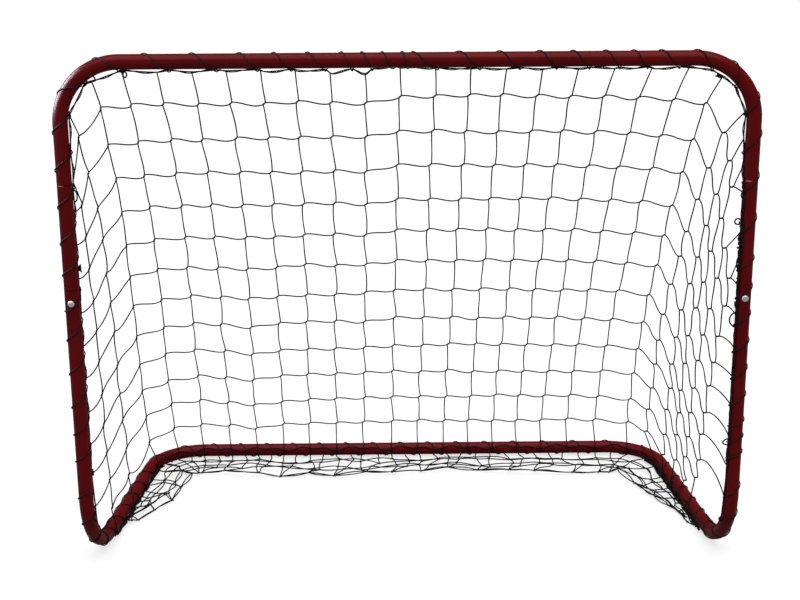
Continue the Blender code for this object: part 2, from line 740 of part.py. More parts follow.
def side_net(side):
    """Knots and strands of a side net, from the fold of the back net to the post."""
    fold_column = side * NET_HALF_COLUMNS
    knots, strands = {}, []
    last_of_row = {}
    for row in range(1, NET_ROWS):
        fold = back_knot(row, fold_column)
        depth = fold.y - MOUTH_Y
        post_x = side * (POST_X - EDGE_CORD_OFFSET - EDGE_CORD_RADIUS)
        places = side_places(side, depth)
        previous = (row, 0)
        for k, (share, drop) in enumerate(places, start=1):
            spot = Vector((post_x + (fold.x - post_x) * share, MOUTH_Y + depth * share,
                           fold.z - drop))
            if spot.z < SIDE_NET_LOWEST:
                break
            knots[row, k] = spot
            strands.append((previous, (row, k)))
            previous = (row, k)
        first = knots.get((row, 1))
        if first is None:
            continue
        away = (first - fold).normalized()
        knots[row, 0] = fold + away * (2 * NET_CORD_RADIUS)
        last_of_row[row] = previous[1]
        if previous[1] == len(places):
            drop = LEFT_POST_DROP if side < 0 else places[-1][1] + places[0][1]
            if fold.z - drop > BASE_Z + FOOT_BEND_RADIUS + post_pitch(side) / 2:
                knots[row, previous[1] + 1] = post_end(side, fold.z - drop, knots[previous])
                strands.append((previous, (row, previous[1] + 1)))
    for row, count in last_of_row.items():
        for k in range(1, count + 1):
            if last_of_row.get(row + 1, 0) >= k:
                strands.append(((row, k), (row + 1, k)))
            else:
                knots["foot", k] = base_end(side, knots[row, k].y)
                strands.append(((row, k), ("foot", k)))
    return knots, strands


def side_places(side, depth):
    """Share of the way to the fold, and drop, of each knot in a row of a side net."""
    if side < 0:
        places = [(1 - share, drop) for share, drop in zip(LEFT_SIDE_SHARES, LEFT_SIDE_DROPS)]
    else:
        full = min(1, depth / RIGHT_SIDE_FULL_DEPTH)
        places = [(1 - full * step / depth, full * drop)
                  for step, drop in zip(RIGHT_SIDE_STEPS, RIGHT_SIDE_DROPS)]
    return [(share, drop) for share, drop in places if share * depth > SIDE_NET_LEAST_DEPTH]


def floor_spot(turn, reach, height):
    """Place on the floor inside the base tube, a distance from the tube's centre line."""
    point, _, inner = base_spot(base_lacing_distance(turn))
    spot = point + inner * reach
    return Vector((spot.x, spot.y, height))


def floor_net(first, last):
    """Knots and strands of the loose net that lies on the floor along part of the base."""
    knots, strands = {}, []
    tie = math.cos(math.pi / 4) * (TUBE_RADIUS / math.cos(math.pi / TUBE_SIDES) + NET_CORD_RADIUS)
    for step in range(last - first + 1):
        turn = first + step + 0.25
        wave = FLOOR_NET_ZIGZAG if step % 2 else -FLOOR_NET_ZIGZAG
        knots["near", step] = floor_spot(turn, FLOOR_NET_NEAR + wave, FLOOR_NET_RISE)
        knots["far", step] = floor_spot(turn, FLOOR_NET_FAR - wave, FLOOR_NET_LOW)
        if step:
            strands.append((("near", step - 1), ("near", step)))
            strands.append((("far", step - 1), ("far", step)))
        if step % 2:
            strands.append((("near", step), ("far", step)))
        else:
            knots["tie", step] = floor_spot(turn, tie, BASE_Z - tie)
            strands.append((("tie", step), ("near", step)))
    return knots, strands


def edge_cord_stations():
    """Stations of the edge cord up one post, under the crossbar and down the other post."""
    reach = abs(upper_lacing_distance(LAST_TURN + TURNS_ON_POST))
    start = UPPER[1].starts[TOP_BEND]
    length = UPPER[1].runs[TOP_BEND].length
    half = [start + length * k / BEND_STEPS for k in range(BEND_STEPS + 1)] + [reach]
    stations = []
    for distance in [-d for d in reversed(half)] + half:
        point, heading, inner = upper_spot(distance)
        stations.append((point + inner * EDGE_CORD_OFFSET, heading, inner, EDGE_CORD_RADIUS))
    return stations


# Assembly

def build_tubes(parent):
    """The eight tubes and the two inner sleeves."""
    makers = (("upper_corner_tube", upper_corner_tube), ("post_tube", post_tube),
              ("foot_tube", foot_tube), ("rear_corner_tube", rear_corner_tube))
    tubes = {}
    for label, side in (("left", -1), ("right", 1)):
        for base_name, maker in makers:
            name = base_name + "_" + label
            tubes[name] = add_object(name, hollow_tube(name, maker(side)), RED_PAINT, parent)
    for name, place in (("crossbar_joint_sleeve", (0, MOUTH_Y, TOP_Z)),
                        ("rear_bar_joint_sleeve", (0, REAR_Y, BASE_Z))):
        add_object(name, hollow_tube(name, joint_sleeve()), BARE_STEEL, parent, place)
    return tubes


def build_post_screws(parent, tubes):
    """A screw, a nut and the hole that they need, through each post joint."""
    height = SCREW_HEIGHT + FLOOR_TO_STEEL
    face = TUBE_RADIUS + FIT_CLEARANCE
    hole_radius = SCREW_RADIUS + SCREW_HOLE_CLEARANCE
    along_y = (math.pi / 2, 0, 0)
    for label, side in (("left", -1), ("right", 1)):
        x = side * POST_X
        hole_mesh = turned_solid("hole", [(0, -2 * TUBE_RADIUS), (hole_radius, -2 * TUBE_RADIUS),
                                          (hole_radius, 2 * TUBE_RADIUS), (0, 2 * TUBE_RADIUS)], HOLE_SIDES)
        hole = add_object("hole_cutter_" + label, hole_mesh, ZINC, parent,
                          (x, MOUTH_Y, height), along_y)
        hide_cutter(hole)
        cut(tubes["post_tube_" + label], hole)
        cut(tubes["foot_tube_" + label], hole)
        screw_name = "post_screw_" + label
        front = (x, MOUTH_Y - face, height)
        screw = add_object(screw_name, post_screw(screw_name), ZINC, parent, front, along_y)
        recess = add_object("recess_cutter_" + label, cross_recess("recess"), ZINC, parent,
                            front, along_y)
        hide_cutter(recess)
        cut(screw, recess)
        nut_name = "post_nut_" + label
        add_object(nut_name, hex_nut(nut_name), ZINC, parent, (x, MOUTH_Y + face, height),
                   (-math.pi / 2, 0, 0))


def build_lacing(parent):
    """The edge cord and the lacing, parted where the frame turns a corner."""
    top = LAST_TURN
    post = top + TURNS_ON_POST
    side = top + TURNS_ON_SIDE
    part = PARTING_TURNS
    upper = (("lacing_left_post", -post, -top), ("lacing_crossbar", -top, top),
             ("lacing_right_post", top, post))
    base = (("lacing_left_base", -side, -top), ("lacing_rear", -top, top),
            ("lacing_right_base", top, side))
    for name, first, last in upper:
        mesh = wound_cord(name, upper_lacing_point, first + part, last - part, 0)
        add_object(name, mesh, BLACK_CORD, parent)
    for name, first, last in base:
        mesh = wound_cord(name, base_lacing_point, first + part, last - part, 0.5)
        add_object(name, mesh, BLACK_CORD, parent)
    cord = solid_rod("net_edge_cord", edge_cord_stations(), EDGE_CORD_SIDES)
    add_object("net_edge_cord", cord, BLACK_CORD, parent)


def build_net(parent):
    """The net, parted along its folds."""
    knots, strands = net_back()
    add_object("net_back", knotted_net("net_back", knots, strands, back_facing()), BLACK_NET, parent)
    for label, side in (("left", -1), ("right", 1)):
        knots, strands = side_net(side)
        name = "net_side_" + label
        fold = back_knot(NET_ROWS // 2, side * NET_HALF_COLUMNS)
        along = fold - post_end(side, fold.z, fold)
        facing = along.cross(AXIS_Z).normalized() * -side
        add_object(name, knotted_net(name, knots, strands, facing), BLACK_NET, parent)
    last = NET_HALF_COLUMNS
    side_last = last + FLOOR_NET_SIDE_COLUMNS
    pieces = (("net_floor_left", -side_last, -last - 1), ("net_floor_rear", -last, last - 1),
              ("net_floor_right", last, side_last))
    for name, first, final in pieces:
        knots, strands = floor_net(first, final)
        add_object(name, knotted_net(name, knots, strands, AXIS_Z.copy()), BLACK_NET, parent)


def main():
    clear_scene()
    goal = bpy.data.objects.new("floorball_goal", None)
    bpy.context.scene.collection.objects.link(goal)
    tubes = build_tubes(goal)
    build_post_screws(goal, tubes)
    build_lacing(goal)
    build_net(goal)


main()
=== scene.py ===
"""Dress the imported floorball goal: painted tubes, zinc screws, laced cords and a knotted net.

Metres, +Z up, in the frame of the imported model. The mouth of the goal faces -Y.
"""
import logging
import math
import random
from dataclasses import KW_ONLY, dataclass, field
from enum import Enum
from typing import Callable, NamedTuple, Sequence

import bmesh
import bpy
from bmesh.types import BMesh
from bpy.types import ID, Material, Mesh, Modifier, Node, NodeSocket, NodeTree, Object
from mathutils import Matrix, Vector


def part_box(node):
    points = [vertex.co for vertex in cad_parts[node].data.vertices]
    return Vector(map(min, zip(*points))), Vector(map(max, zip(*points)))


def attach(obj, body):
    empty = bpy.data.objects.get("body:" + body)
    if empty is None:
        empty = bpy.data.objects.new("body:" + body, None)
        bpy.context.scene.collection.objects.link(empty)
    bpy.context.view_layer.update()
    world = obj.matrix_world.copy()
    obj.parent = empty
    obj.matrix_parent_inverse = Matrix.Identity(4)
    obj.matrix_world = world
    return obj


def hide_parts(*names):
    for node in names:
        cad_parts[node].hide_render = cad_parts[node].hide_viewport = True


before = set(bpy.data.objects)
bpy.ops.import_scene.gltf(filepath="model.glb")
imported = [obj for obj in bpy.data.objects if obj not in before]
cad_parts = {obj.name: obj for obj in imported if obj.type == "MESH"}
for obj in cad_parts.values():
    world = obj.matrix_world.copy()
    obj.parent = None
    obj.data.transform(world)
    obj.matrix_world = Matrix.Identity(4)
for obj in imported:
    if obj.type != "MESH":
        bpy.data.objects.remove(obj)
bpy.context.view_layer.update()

FULL_TURN = 2 * math.pi
MERGE_DISTANCE = 0.00001
AXIS_X = Vector((1, 0, 0))
AXIS_Y = Vector((0, 1, 0))
AXIS_Z = Vector((0, 0, 1))
Pair = tuple[float, float]
Triple = tuple[float, float, float]

logging.basicConfig(level=logging.INFO, format="%(levelname)s %(message)s")
log = logging.getLogger("goal")


class Side(Enum):
    """The two sides of the goal, as seen from its mouth."""

    LEFT = -1
    RIGHT = 1

    @property
    def label(self) -> str:
        """Word for the side in a piece's name."""
        return self.name.lower()


class Slot(Enum):
    """The record's material slots."""

    RED_PAINT = "red_paint"
    BARE_STEEL = "bare_steel"
    ZINC = "zinc"
    LACING_CORD = "lacing_cord"
    NET_CORD = "net_cord"


# Centre lines of the frame

def fanned(first: Vector, second: Vector, angle: float) -> Vector:
    """Direction at an angle from a first axis towards a second one."""
    return first * math.cos(angle) + second * math.sin(angle)


def spaced(first: float, last: float, count: int) -> list[float]:
    """Values from first to last, in a number of even steps."""
    return [first + (last - first) * k / count for k in range(count + 1)]


class Spot(NamedTuple):
    """A place on a tube's centre line, its heading and its inner side."""

    point: Vector
    heading: Vector
    inner: Vector

    def spoke(self, angle: float) -> Vector:
        """Direction square to the tube, turned by an angle from its inner side."""
        return fanned(self.inner, self.heading.cross(self.inner), angle)


@dataclass
class Straight:
    """A straight run of tube."""

    start: Vector
    end: Vector

    def __post_init__(self) -> None:
        """Work out its length and heading."""
        self.length = (self.end - self.start).length
        self.heading = (self.end - self.start).normalized()

    def at(self, distance: float) -> tuple[Vector, Vector]:
        """Point and heading at a distance from the start."""
        return self.start + self.heading * distance, self.heading


@dataclass
class Bend:
    """A round bend between two headings, whose straight runs would meet at a corner."""

    corner: Vector
    heading: Vector
    out: Vector
    radius: float

    def __post_init__(self) -> None:
        """Work out where it begins and ends, its centre and its length."""
        turn = self.heading.angle(self.out)
        reach = self.radius * math.tan(turn / 2)
        self.start = self.corner - self.heading * reach
        self.end = self.corner + self.out * reach
        self.axis = self.heading.cross(self.out).normalized()
        self.centre = self.start + self.axis.cross(self.heading) * self.radius
        self.length = turn * self.radius

    def at(self, distance: float) -> tuple[Vector, Vector]:
        """Point and heading at a distance from the start."""
        turned = Matrix.Rotation(distance / self.radius, 3, self.axis)
        return self.centre + turned @ (self.start - self.centre), turned @ self.heading


@dataclass
class Route:
    """Runs and bends of one half of the frame, from the middle of a bar outwards."""

    runs: Sequence[Straight | Bend]

    def __post_init__(self) -> None:
        """Work out how far along each run begins."""
        lengths = [run.length for run in self.runs]
        self.starts = [sum(lengths[:k]) for k in range(len(lengths))]

    def at(self, distance: float) -> tuple[Vector, Vector, int]:
        """Point, heading and index of the run at a distance from the middle of the bar."""
        index = 0
        while index + 1 < len(self.runs) and distance > self.starts[index + 1]:
            index += 1
        point, heading = self.runs[index].at(distance - self.starts[index])
        return point, heading, index


@dataclass
class FrameSizes:
    """Sizes of the tube frame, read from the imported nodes, with the bends as they were bent."""

    top_bend: float = 0.100
    foot_bend: float = 0.120
    rear_bend: float = 0.105
    tube_radius: float = 0.0125
    rear_corner_x: float = 0.5097
    shoulder: float = 0.0007
    fit: float = 0.0003
    wall: float = 0.001

    def __post_init__(self) -> None:
        """Read the places of the tubes and of the screws from the frame."""
        post_low, post_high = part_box("post_tube_left")
        self.post_x = -(post_low.x + post_high.x) / 2
        self.mouth_y = (post_low.y + post_high.y) / 2
        self.upper_joint_z = post_high.z
        self.top_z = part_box("upper_corner_tube_left")[1].z - self.tube_radius
        rear_low, rear_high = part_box("rear_corner_tube_left")
        self.rear_y = rear_high.y - self.tube_radius
        self.base_z = rear_low.z + self.tube_radius
        foot_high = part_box("foot_tube_left")[1]
        self.post_joint_z = foot_high.z
        self.side_joint_y = foot_high.y
        screw_low, screw_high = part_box("post_screw_left")
        self.screw_z = (screw_low.z + screw_high.z) / 2

    def side_heading(self, side: int) -> Vector:
        """Heading of a base side, from the post to the rear corner."""
        inwards = side * (self.rear_corner_x - self.post_x)
        return Vector((inwards, self.rear_y - self.mouth_y, 0)).normalized()


@dataclass
class CentreLines:
    """The two bent lines that the tubes, the lacing and the net follow."""

    REAR_BEND, BASE_SIDE, FOOT_BEND = 1, 2, 3
    TOP_BEND, UPPER_POST = 1, 2
    sizes: FrameSizes

    def __post_init__(self) -> None:
        """Lay both halves of both lines."""
        self.upper_half = {side.value: self._upper(side.value) for side in Side}
        self.base_half = {side.value: self._base(side.value) for side in Side}

    def _upper(self, side: int) -> Route:
        """Middle of the crossbar, top bend and post, down to the foot bend."""
        s = self.sizes
        bend = Bend(Vector((side * s.post_x, s.mouth_y, s.top_z)), AXIS_X * side, -AXIS_Z,
                    s.top_bend)
        foot = Vector((side * s.post_x, s.mouth_y, s.base_z + s.foot_bend))
        return Route([Straight(Vector((0, s.mouth_y, s.top_z)), bend.start), bend,
                      Straight(bend.end, foot)])

    def _base(self, side: int) -> Route:
        """Middle of the rear bar, rear bend, base side, foot bend and post, up to its joint."""
        s = self.sizes
        back = s.side_heading(side)
        rear = Bend(Vector((side * s.rear_corner_x, s.rear_y, s.base_z)), AXIS_X * side, -back,
                    s.rear_bend)
        foot = Bend(Vector((side * s.post_x, s.mouth_y, s.base_z)), -back, AXIS_Z, s.foot_bend)
        joint = Vector((side * s.post_x, s.mouth_y, s.post_joint_z))
        return Route([Straight(Vector((0, s.rear_y, s.base_z)), rear.start), rear,
                      Straight(rear.end, foot.start), foot, Straight(foot.end, joint)])

    def upper(self, distance: float) -> Spot:
        """Spot on the crossbar and the posts; distances run from left to right."""
        side = 1 if distance >= 0 else -1
        point, heading, _ = self.upper_half[side].at(abs(distance))
        heading = heading * side
        return Spot(point, heading, AXIS_Y.cross(heading))

    def base(self, distance: float) -> Spot:
        """Spot on the rear bar, the base sides and the foot bends."""
        side = 1 if distance >= 0 else -1
        half = self.base_half[side]
        point, heading, run = half.at(abs(distance))
        flat = half.runs[self.BASE_SIDE].heading if run >= self.FOOT_BEND else heading
        return Spot(point, heading * side, flat.cross(AXIS_Z) * side)

    def post_distance(self, height: float) -> float:
        """Distance along the upper line, without sign, of a height on a post."""
        half = self.upper_half[1]
        return half.starts[self.UPPER_POST] + half.runs[self.TOP_BEND].end.z - height


# Nodes

@dataclass(frozen=True)
class Value:
    """An output socket that takes part in Python arithmetic by adding Math nodes."""

    writer: "NodeWriter"
    socket: NodeSocket

    def _maths(self, operation: str, *values: "Value | float") -> "Value":
        """Add a Math node on this value and others."""
        return self.writer.maths(operation, self, *values)

    def __add__(self, other: "Value | float") -> "Value":
        """This value plus another."""
        return self._maths("ADD", other)

    __radd__ = __add__

    def __sub__(self, other: "Value | float") -> "Value":
        """This value minus another."""
        return self._maths("SUBTRACT", other)

    def __rsub__(self, other: float) -> "Value":
        """A number minus this value."""
        return self.writer.maths("SUBTRACT", other, self)

    def __mul__(self, other: "Value | float") -> "Value":
        """This value times another."""
        return self._maths("MULTIPLY", other)

    __rmul__ = __mul__

    def __truediv__(self, other: "Value | float") -> "Value":
        """This value over another."""
        return self._maths("DIVIDE", other)

    def __rtruediv__(self, other: float) -> "Value":
        """A number over this value."""
        return self.writer.maths("DIVIDE", other, self)

    def cosine(self) -> "Value":
        """Cosine of this value."""
        return self._maths("COSINE")

    def clipped(self) -> "Value":
        """This value kept from 0 to 1."""
        clamp = self.writer.node("ShaderNodeClamp", inputs={"Value": self})
        return self.writer.out(clamp)

    def above(self, low: float, high: float) -> "Value":
        """0 below low, 1 above high and smooth between."""
        ramp = self.writer.node("ShaderNodeMapRange", {"interpolation_type": "SMOOTHSTEP"},
                                {"Value": self, "From Min": low, "From Max": high})
        return self.writer.out(ramp)


class Grain(NamedTuple):
    """Noise of so many bumps to the metre, which shows from a low value up to a high one."""

    scale: float
    detail: float
    low: float
    high: float
    roughness: float = 0.5


@dataclass(frozen=True)
class NodeWriter:
    """Writes nodes into one shader or geometry tree."""

    tree: NodeTree

    def node(self, kind: str, settings: dict | None = None,
             inputs: dict | None = None) -> Node:
        """Add a node.

        Args:
            kind: the node's type.
            settings: properties that are set before its sockets.
            inputs: values or links by socket name or index.

        Returns:
            The new node.
        """
        made = self.tree.nodes.new(kind)
        for name, value in (settings or {}).items():
            setattr(made, name, value)
        for name, value in (inputs or {}).items():
            self.feed(made.inputs[name], value)
        return made

    def feed(self, socket: NodeSocket, value: object) -> None:
        """Link a socket or set its own value.

        Args:
            socket: the input socket.
            value: a number, a colour, a Value, a socket, or a node for its first output.
        """
        if isinstance(value, Value):
            value = value.socket
        elif isinstance(value, Node):
            value = value.outputs[0]
        if isinstance(value, NodeSocket):
            self.tree.links.new(value, socket)
        else:
            socket.default_value = value

    def out(self, node: Node, name: str | int = 0) -> Value:
        """A node's output as a value for arithmetic."""
        return Value(self, node.outputs[name])

    def maths(self, operation: str, *values: Value | float) -> Value:
        """Add a Math node."""
        made = self.node("ShaderNodeMath", {"operation": operation})
        for socket, value in zip(made.inputs, values):
            self.feed(socket, value)
        return self.out(made)

    def mix(self, factor: object, first: object, second: object) -> NodeSocket:
        """Mix two colours.

        Args:
            factor: share of the second colour.
            first: colour at 0.
            second: colour at 1.

        Returns:
            The mixed colour's socket.
        """
        made = self.node("ShaderNodeMix", {"data_type": "RGBA"})
        factor_in = next(s for s in made.inputs if s.enabled and s.name == "Factor")
        first_in = next(s for s in made.inputs if s.enabled and s.name == "A")
        second_in = next(s for s in made.inputs if s.enabled and s.name == "B")
        for socket, value in ((factor_in, factor), (first_in, first), (second_in, second)):
            self.feed(socket, (*value, 1.0) if isinstance(value, tuple) else value)
        return next(s for s in made.outputs if s.enabled)

    def noise(self, place: object, scale: float, detail: float = 2.0,
              roughness: float = 0.5) -> Value:
        """Noise from about 0 to 1 at a number of bumps to the metre."""
        made = self.node("ShaderNodeTexNoise", inputs={
            "Vector": place, "Scale": scale, "Detail": detail, "Roughness": roughness})
        return self.out(made)

    def grain(self, place: object, grain: Grain) -> Value:
        """Where a grain shows: 0 below its low value and 1 above its high one."""
        noise = self.noise(place, grain.scale, grain.detail, grain.roughness)
        return noise.above(grain.low, grain.high)


# Finishes

@dataclass(frozen=True)
class Finish:
    """Base of the finishes: a Principled shader with what varies over the surface."""

    name: str
    slot: Slot

    def material(self) -> Material:
        """The finish as a Blender material, made once."""
        found = bpy.data.materials.get(self.name)
        if found is not None:
            return found
        made = bpy.data.materials.new(self.name)
        made.use_nodes = True
        writer = NodeWriter(made.node_tree)
        self.write(writer, made.node_tree.nodes["Principled BSDF"])
        return made

    def write(self, writer: NodeWriter, shader: Node) -> None:
        """Set the shader; each finish has its own."""
        raise NotImplementedError

    @staticmethod
    def object_place(writer: NodeWriter) -> NodeSocket:
        """Object coordinates."""
        return writer.node("ShaderNodeTexCoord").outputs["Object"]

    @staticmethod
    def bump(writer: NodeWriter, shader: Node, height: Value, depth: float) -> None:
        """Give the shader a bump of a depth in metres."""
        made = writer.node("ShaderNodeBump", inputs={
            "Height": height, "Distance": depth, "Strength": 1.0})
        writer.feed(shader.inputs["Normal"], made)


@dataclass(frozen=True)
class RedPaint(Finish):
    """Gloss dark red paint with a faint orange peel, dull patches, dust specks, and a painted glint
    on the rubbed lip of each upper joint, kept to the left side of each post where the light falls.
    """

    colour: Triple = (0.150, 0.0036, 0.0046)
    deep: Triple = (0.124, 0.0030, 0.0042)
    # Pale colour of the rubbed patches and dust specks, and also of the painted glint at the upper
    # joints.
    rubbed: Triple = (0.55, 0.42, 0.42)
    roughness: float = 0.30
    specular: float = 0.10
    # A thin ring at the upper joint, kept to the left side of each post where the light falls and
    # broken up by noise: a painted glint on the worn lip.
    ring_height: float = 0.6905
    ring_half_width: float = 0.0011
    ring_core: float = 0.7
    ring_sides: Pair = (-0.004, 0.001)
    post_x: float = 0.5625
    clouds: Grain = Grain(9, 3, 0.35, 0.7)
    rubs: Grain = Grain(60, 4, 0.79, 0.83, 0.7)
    specks: Grain = Grain(520, 1, 0.80, 0.84)
    ring_wear: Grain = Grain(90, 2, 0.36, 0.48)
    rub_share: float = 0.18
    speck_share: float = 0.12
    wear_share: float = 0.8
    smear: float = 0.12
    mark_roughness: float = 0.2
    peel_depth: float = 0.00012

    def write(self, writer: NodeWriter, shader: Node) -> None:
        """Set the paint's colour with its painted glint, its gloss and its orange peel."""
        place = self.object_place(writer)
        cloud = writer.grain(place, self.clouds)
        colour = writer.mix(cloud, self.colour, self.deep)
        rub = writer.grain(place, self.rubs)
        speck = writer.grain(place, self.specks)
        parts = writer.node("ShaderNodeSeparateXYZ", inputs={"Vector": place})
        # Painted glint: a pale ring round the upper joint, only on the left of each post, where the
        # light falls.
        off = writer.maths("ABSOLUTE", writer.out(parts, "Z") - self.ring_height)
        ring = 1 - off.above(self.ring_half_width * self.ring_core, self.ring_half_width)
        across = writer.out(parts, "X")
        post = across / writer.maths("ABSOLUTE", across) * self.post_x
        ring = ring * (1 - (across - post).above(*self.ring_sides))
        pale_mask = ring * writer.grain(place, self.ring_wear)
        marks_and_glint = (rub * self.rub_share + speck * self.speck_share + pale_mask * self.wear_share).clipped()
        writer.feed(shader.inputs["Base Color"], writer.mix(marks_and_glint, colour, self.rubbed))
        smear = writer.noise(place, 24, 3) * self.smear
        writer.feed(shader.inputs["Roughness"],
                    self.roughness + smear - self.smear / 2 + marks_and_glint * self.mark_roughness)
        self.bump(writer, shader, writer.noise(place, 420, 1), self.peel_depth)
        shader.inputs["Specular IOR Level"].default_value = self.specular


@dataclass(frozen=True)
class ZincPlate(Finish):
    """Bright zinc plating with a passivated tint and turning marks."""

    colour: Triple = (0.92, 0.91, 0.91)
    tint: Triple = (0.74, 0.72, 0.76)
    metallic: float = 0.55
    mark_depth: float = 0.00004

    def write(self, writer: NodeWriter, shader: Node) -> None:
        """Set the plating's colour and the marks that turning left."""
        place = self.object_place(writer)
        blotch = writer.noise(place, 300, 3)
        writer.feed(shader.inputs["Base Color"], writer.mix(blotch, self.colour, self.tint))
        writer.feed(shader.inputs["Roughness"], 0.30 + writer.noise(place, 900, 2) * 0.2)
        shader.inputs["Metallic"].default_value = self.metallic
        self.bump(writer, shader, writer.noise(place, 1600, 2), self.mark_depth)


@dataclass(frozen=True)
class BareSteel(Finish):
    """Drawn steel of the inner sleeves, with lines along the bar and a little oil."""

    colour: Triple = (0.26, 0.26, 0.265)
    oiled: Triple = (0.12, 0.115, 0.11)
    oil: Grain = Grain(70, 3, 0.5, 0.7)
    line_stretch: Triple = (0.03, 1.0, 1.0)
    line_depth: float = 0.00003

    def write(self, writer: NodeWriter, shader: Node) -> None:
        """Set the steel's colour and its drawing lines."""
        place = self.object_place(writer)
        stretched = writer.node("ShaderNodeMapping", inputs={
            "Vector": place, "Scale": self.line_stretch})
        lines = writer.noise(stretched, 2500, 2)
        oil = writer.grain(place, self.oil)
        writer.feed(shader.inputs["Base Color"], writer.mix(oil, self.colour, self.oiled))
        writer.feed(shader.inputs["Roughness"], 0.5 + lines * 0.2)
        shader.inputs["Metallic"].default_value = 1.0
        self.bump(writer, shader, lines, self.line_depth)


@dataclass(frozen=True)
class TwistedCord(Finish):
    """Black synthetic cord: laid strands, fibres along them, dust on the high sides."""

    colour: Triple = (0.0045, 0.0045, 0.0050)
    dusty: Triple = (0.0150, 0.0145, 0.0145)
    strands: int = 3
    lay: float = 0.008
    strand_depth: float = 0.00012
    high_sides: Pair = (0.55, 1.0)
    fuzz: Grain = Grain(240, 3, 0.45, 0.75)
    fibre_share: float = 0.35
    dust_shares: Pair = (0.4, 0.5)
    roughness: float = 0.62
    fibre_roughness: float = 0.25
    specular: float = 0.22

    def write(self, writer: NodeWriter, shader: Node) -> None:
        """Set the cord's colour, its strands and its fibres."""
        around = writer.node("ShaderNodeAttribute", {"attribute_name": "around"})
        along = writer.node("ShaderNodeAttribute", {"attribute_name": "along"})
        parts = writer.node("ShaderNodeSeparateXYZ", inputs={"Vector": around.outputs["Vector"]})
        angle = writer.maths("ARCTAN2", writer.out(parts, "Y"), writer.out(parts, "X"))
        distance = writer.out(along, "Fac")
        phase = angle * float(self.strands) - distance * (FULL_TURN * self.strands / self.lay)
        strand = phase.cosine() * 0.5 + 0.5
        fine = writer.noise(self.object_place(writer), 1400, 2)
        fuzz = writer.grain(self.object_place(writer), self.fuzz)
        high, fuzzy = self.dust_shares
        pale_mask = (strand.above(*self.high_sides) * high + fuzz * fuzzy).clipped()
        writer.feed(shader.inputs["Base Color"], writer.mix(pale_mask, self.colour, self.dusty))
        writer.feed(shader.inputs["Roughness"], self.roughness + fine * self.fibre_roughness)
        self.bump(writer, shader, strand + fine * self.fibre_share, self.strand_depth)
        shader.inputs["Specular IOR Level"].default_value = self.specular


RED_PAINT = RedPaint("dark_red_gloss_paint", Slot.RED_PAINT)
ZINC = ZincPlate("zinc_plate", Slot.ZINC)
BARE_STEEL = BareSteel("drawn_steel", Slot.BARE_STEEL)
LACING = TwistedCord("laid_lacing_cord", Slot.LACING_CORD, colour=(0.011, 0.0070, 0.0076),
                     dusty=(0.026, 0.017, 0.018), strand_depth=0.00004)
NET_TWINE = TwistedCord("laid_net_twine", Slot.NET_CORD, lay=0.0055)


# Meshes and pieces

def finished(piece: Object, finish: Finish, *nodes: str) -> Object:
    """Give a piece its ride, and let it stand for CAD nodes.

    Args:
        piece: the piece, with its material already on it.
        finish: not used.
        nodes: the CAD nodes that it stands for.

    Returns:
        The piece.
    """
    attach(piece, "root")
    if nodes:
        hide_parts(*nodes)
    log.info("%s: %d faces", piece.name, len(piece.data.polygons))
    return piece


def linked(name: str, data: ID) -> Object:
    """A new object of the scene."""
    made = bpy.data.objects.new(name, data)
    bpy.context.scene.collection.objects.link(made)
    return made


def plain_mesh(piece: Object, modifier: Modifier) -> Mesh:
    """The mesh that a piece's modifier makes; the modifier is removed.

    Args:
        piece: the piece.
        modifier: its modifier, already set.

    Returns:
        The plain mesh.
    """
    bpy.context.view_layer.update()
    seen = piece.evaluated_get(bpy.context.evaluated_depsgraph_get())
    plain = bpy.data.meshes.new_from_object(seen)
    piece.modifiers.remove(modifier)
    return plain


def object_from(name: str, bm: BMesh, finish: Finish,
                sharp: float = math.radians(40)) -> Object:
    """Turn a bmesh into a smooth object with a finish.

    Args:
        name: the piece's name.
        bm: the mesh, which is freed.
        finish: the finish that it wears.
        sharp: edges that turn by more than this stay sharp.

    Returns:
        The new object.
    """
    bmesh.ops.remove_doubles(bm, verts=bm.verts, dist=MERGE_DISTANCE)
    bmesh.ops.recalc_face_normals(bm, faces=bm.faces)
    mesh = bpy.data.meshes.new(name)
    bm.to_mesh(mesh)
    bm.free()
    mesh.shade_smooth()
    mesh.set_sharp_from_angle(angle=sharp)
    mesh.materials.append(finish.material())
    return linked(name, mesh)


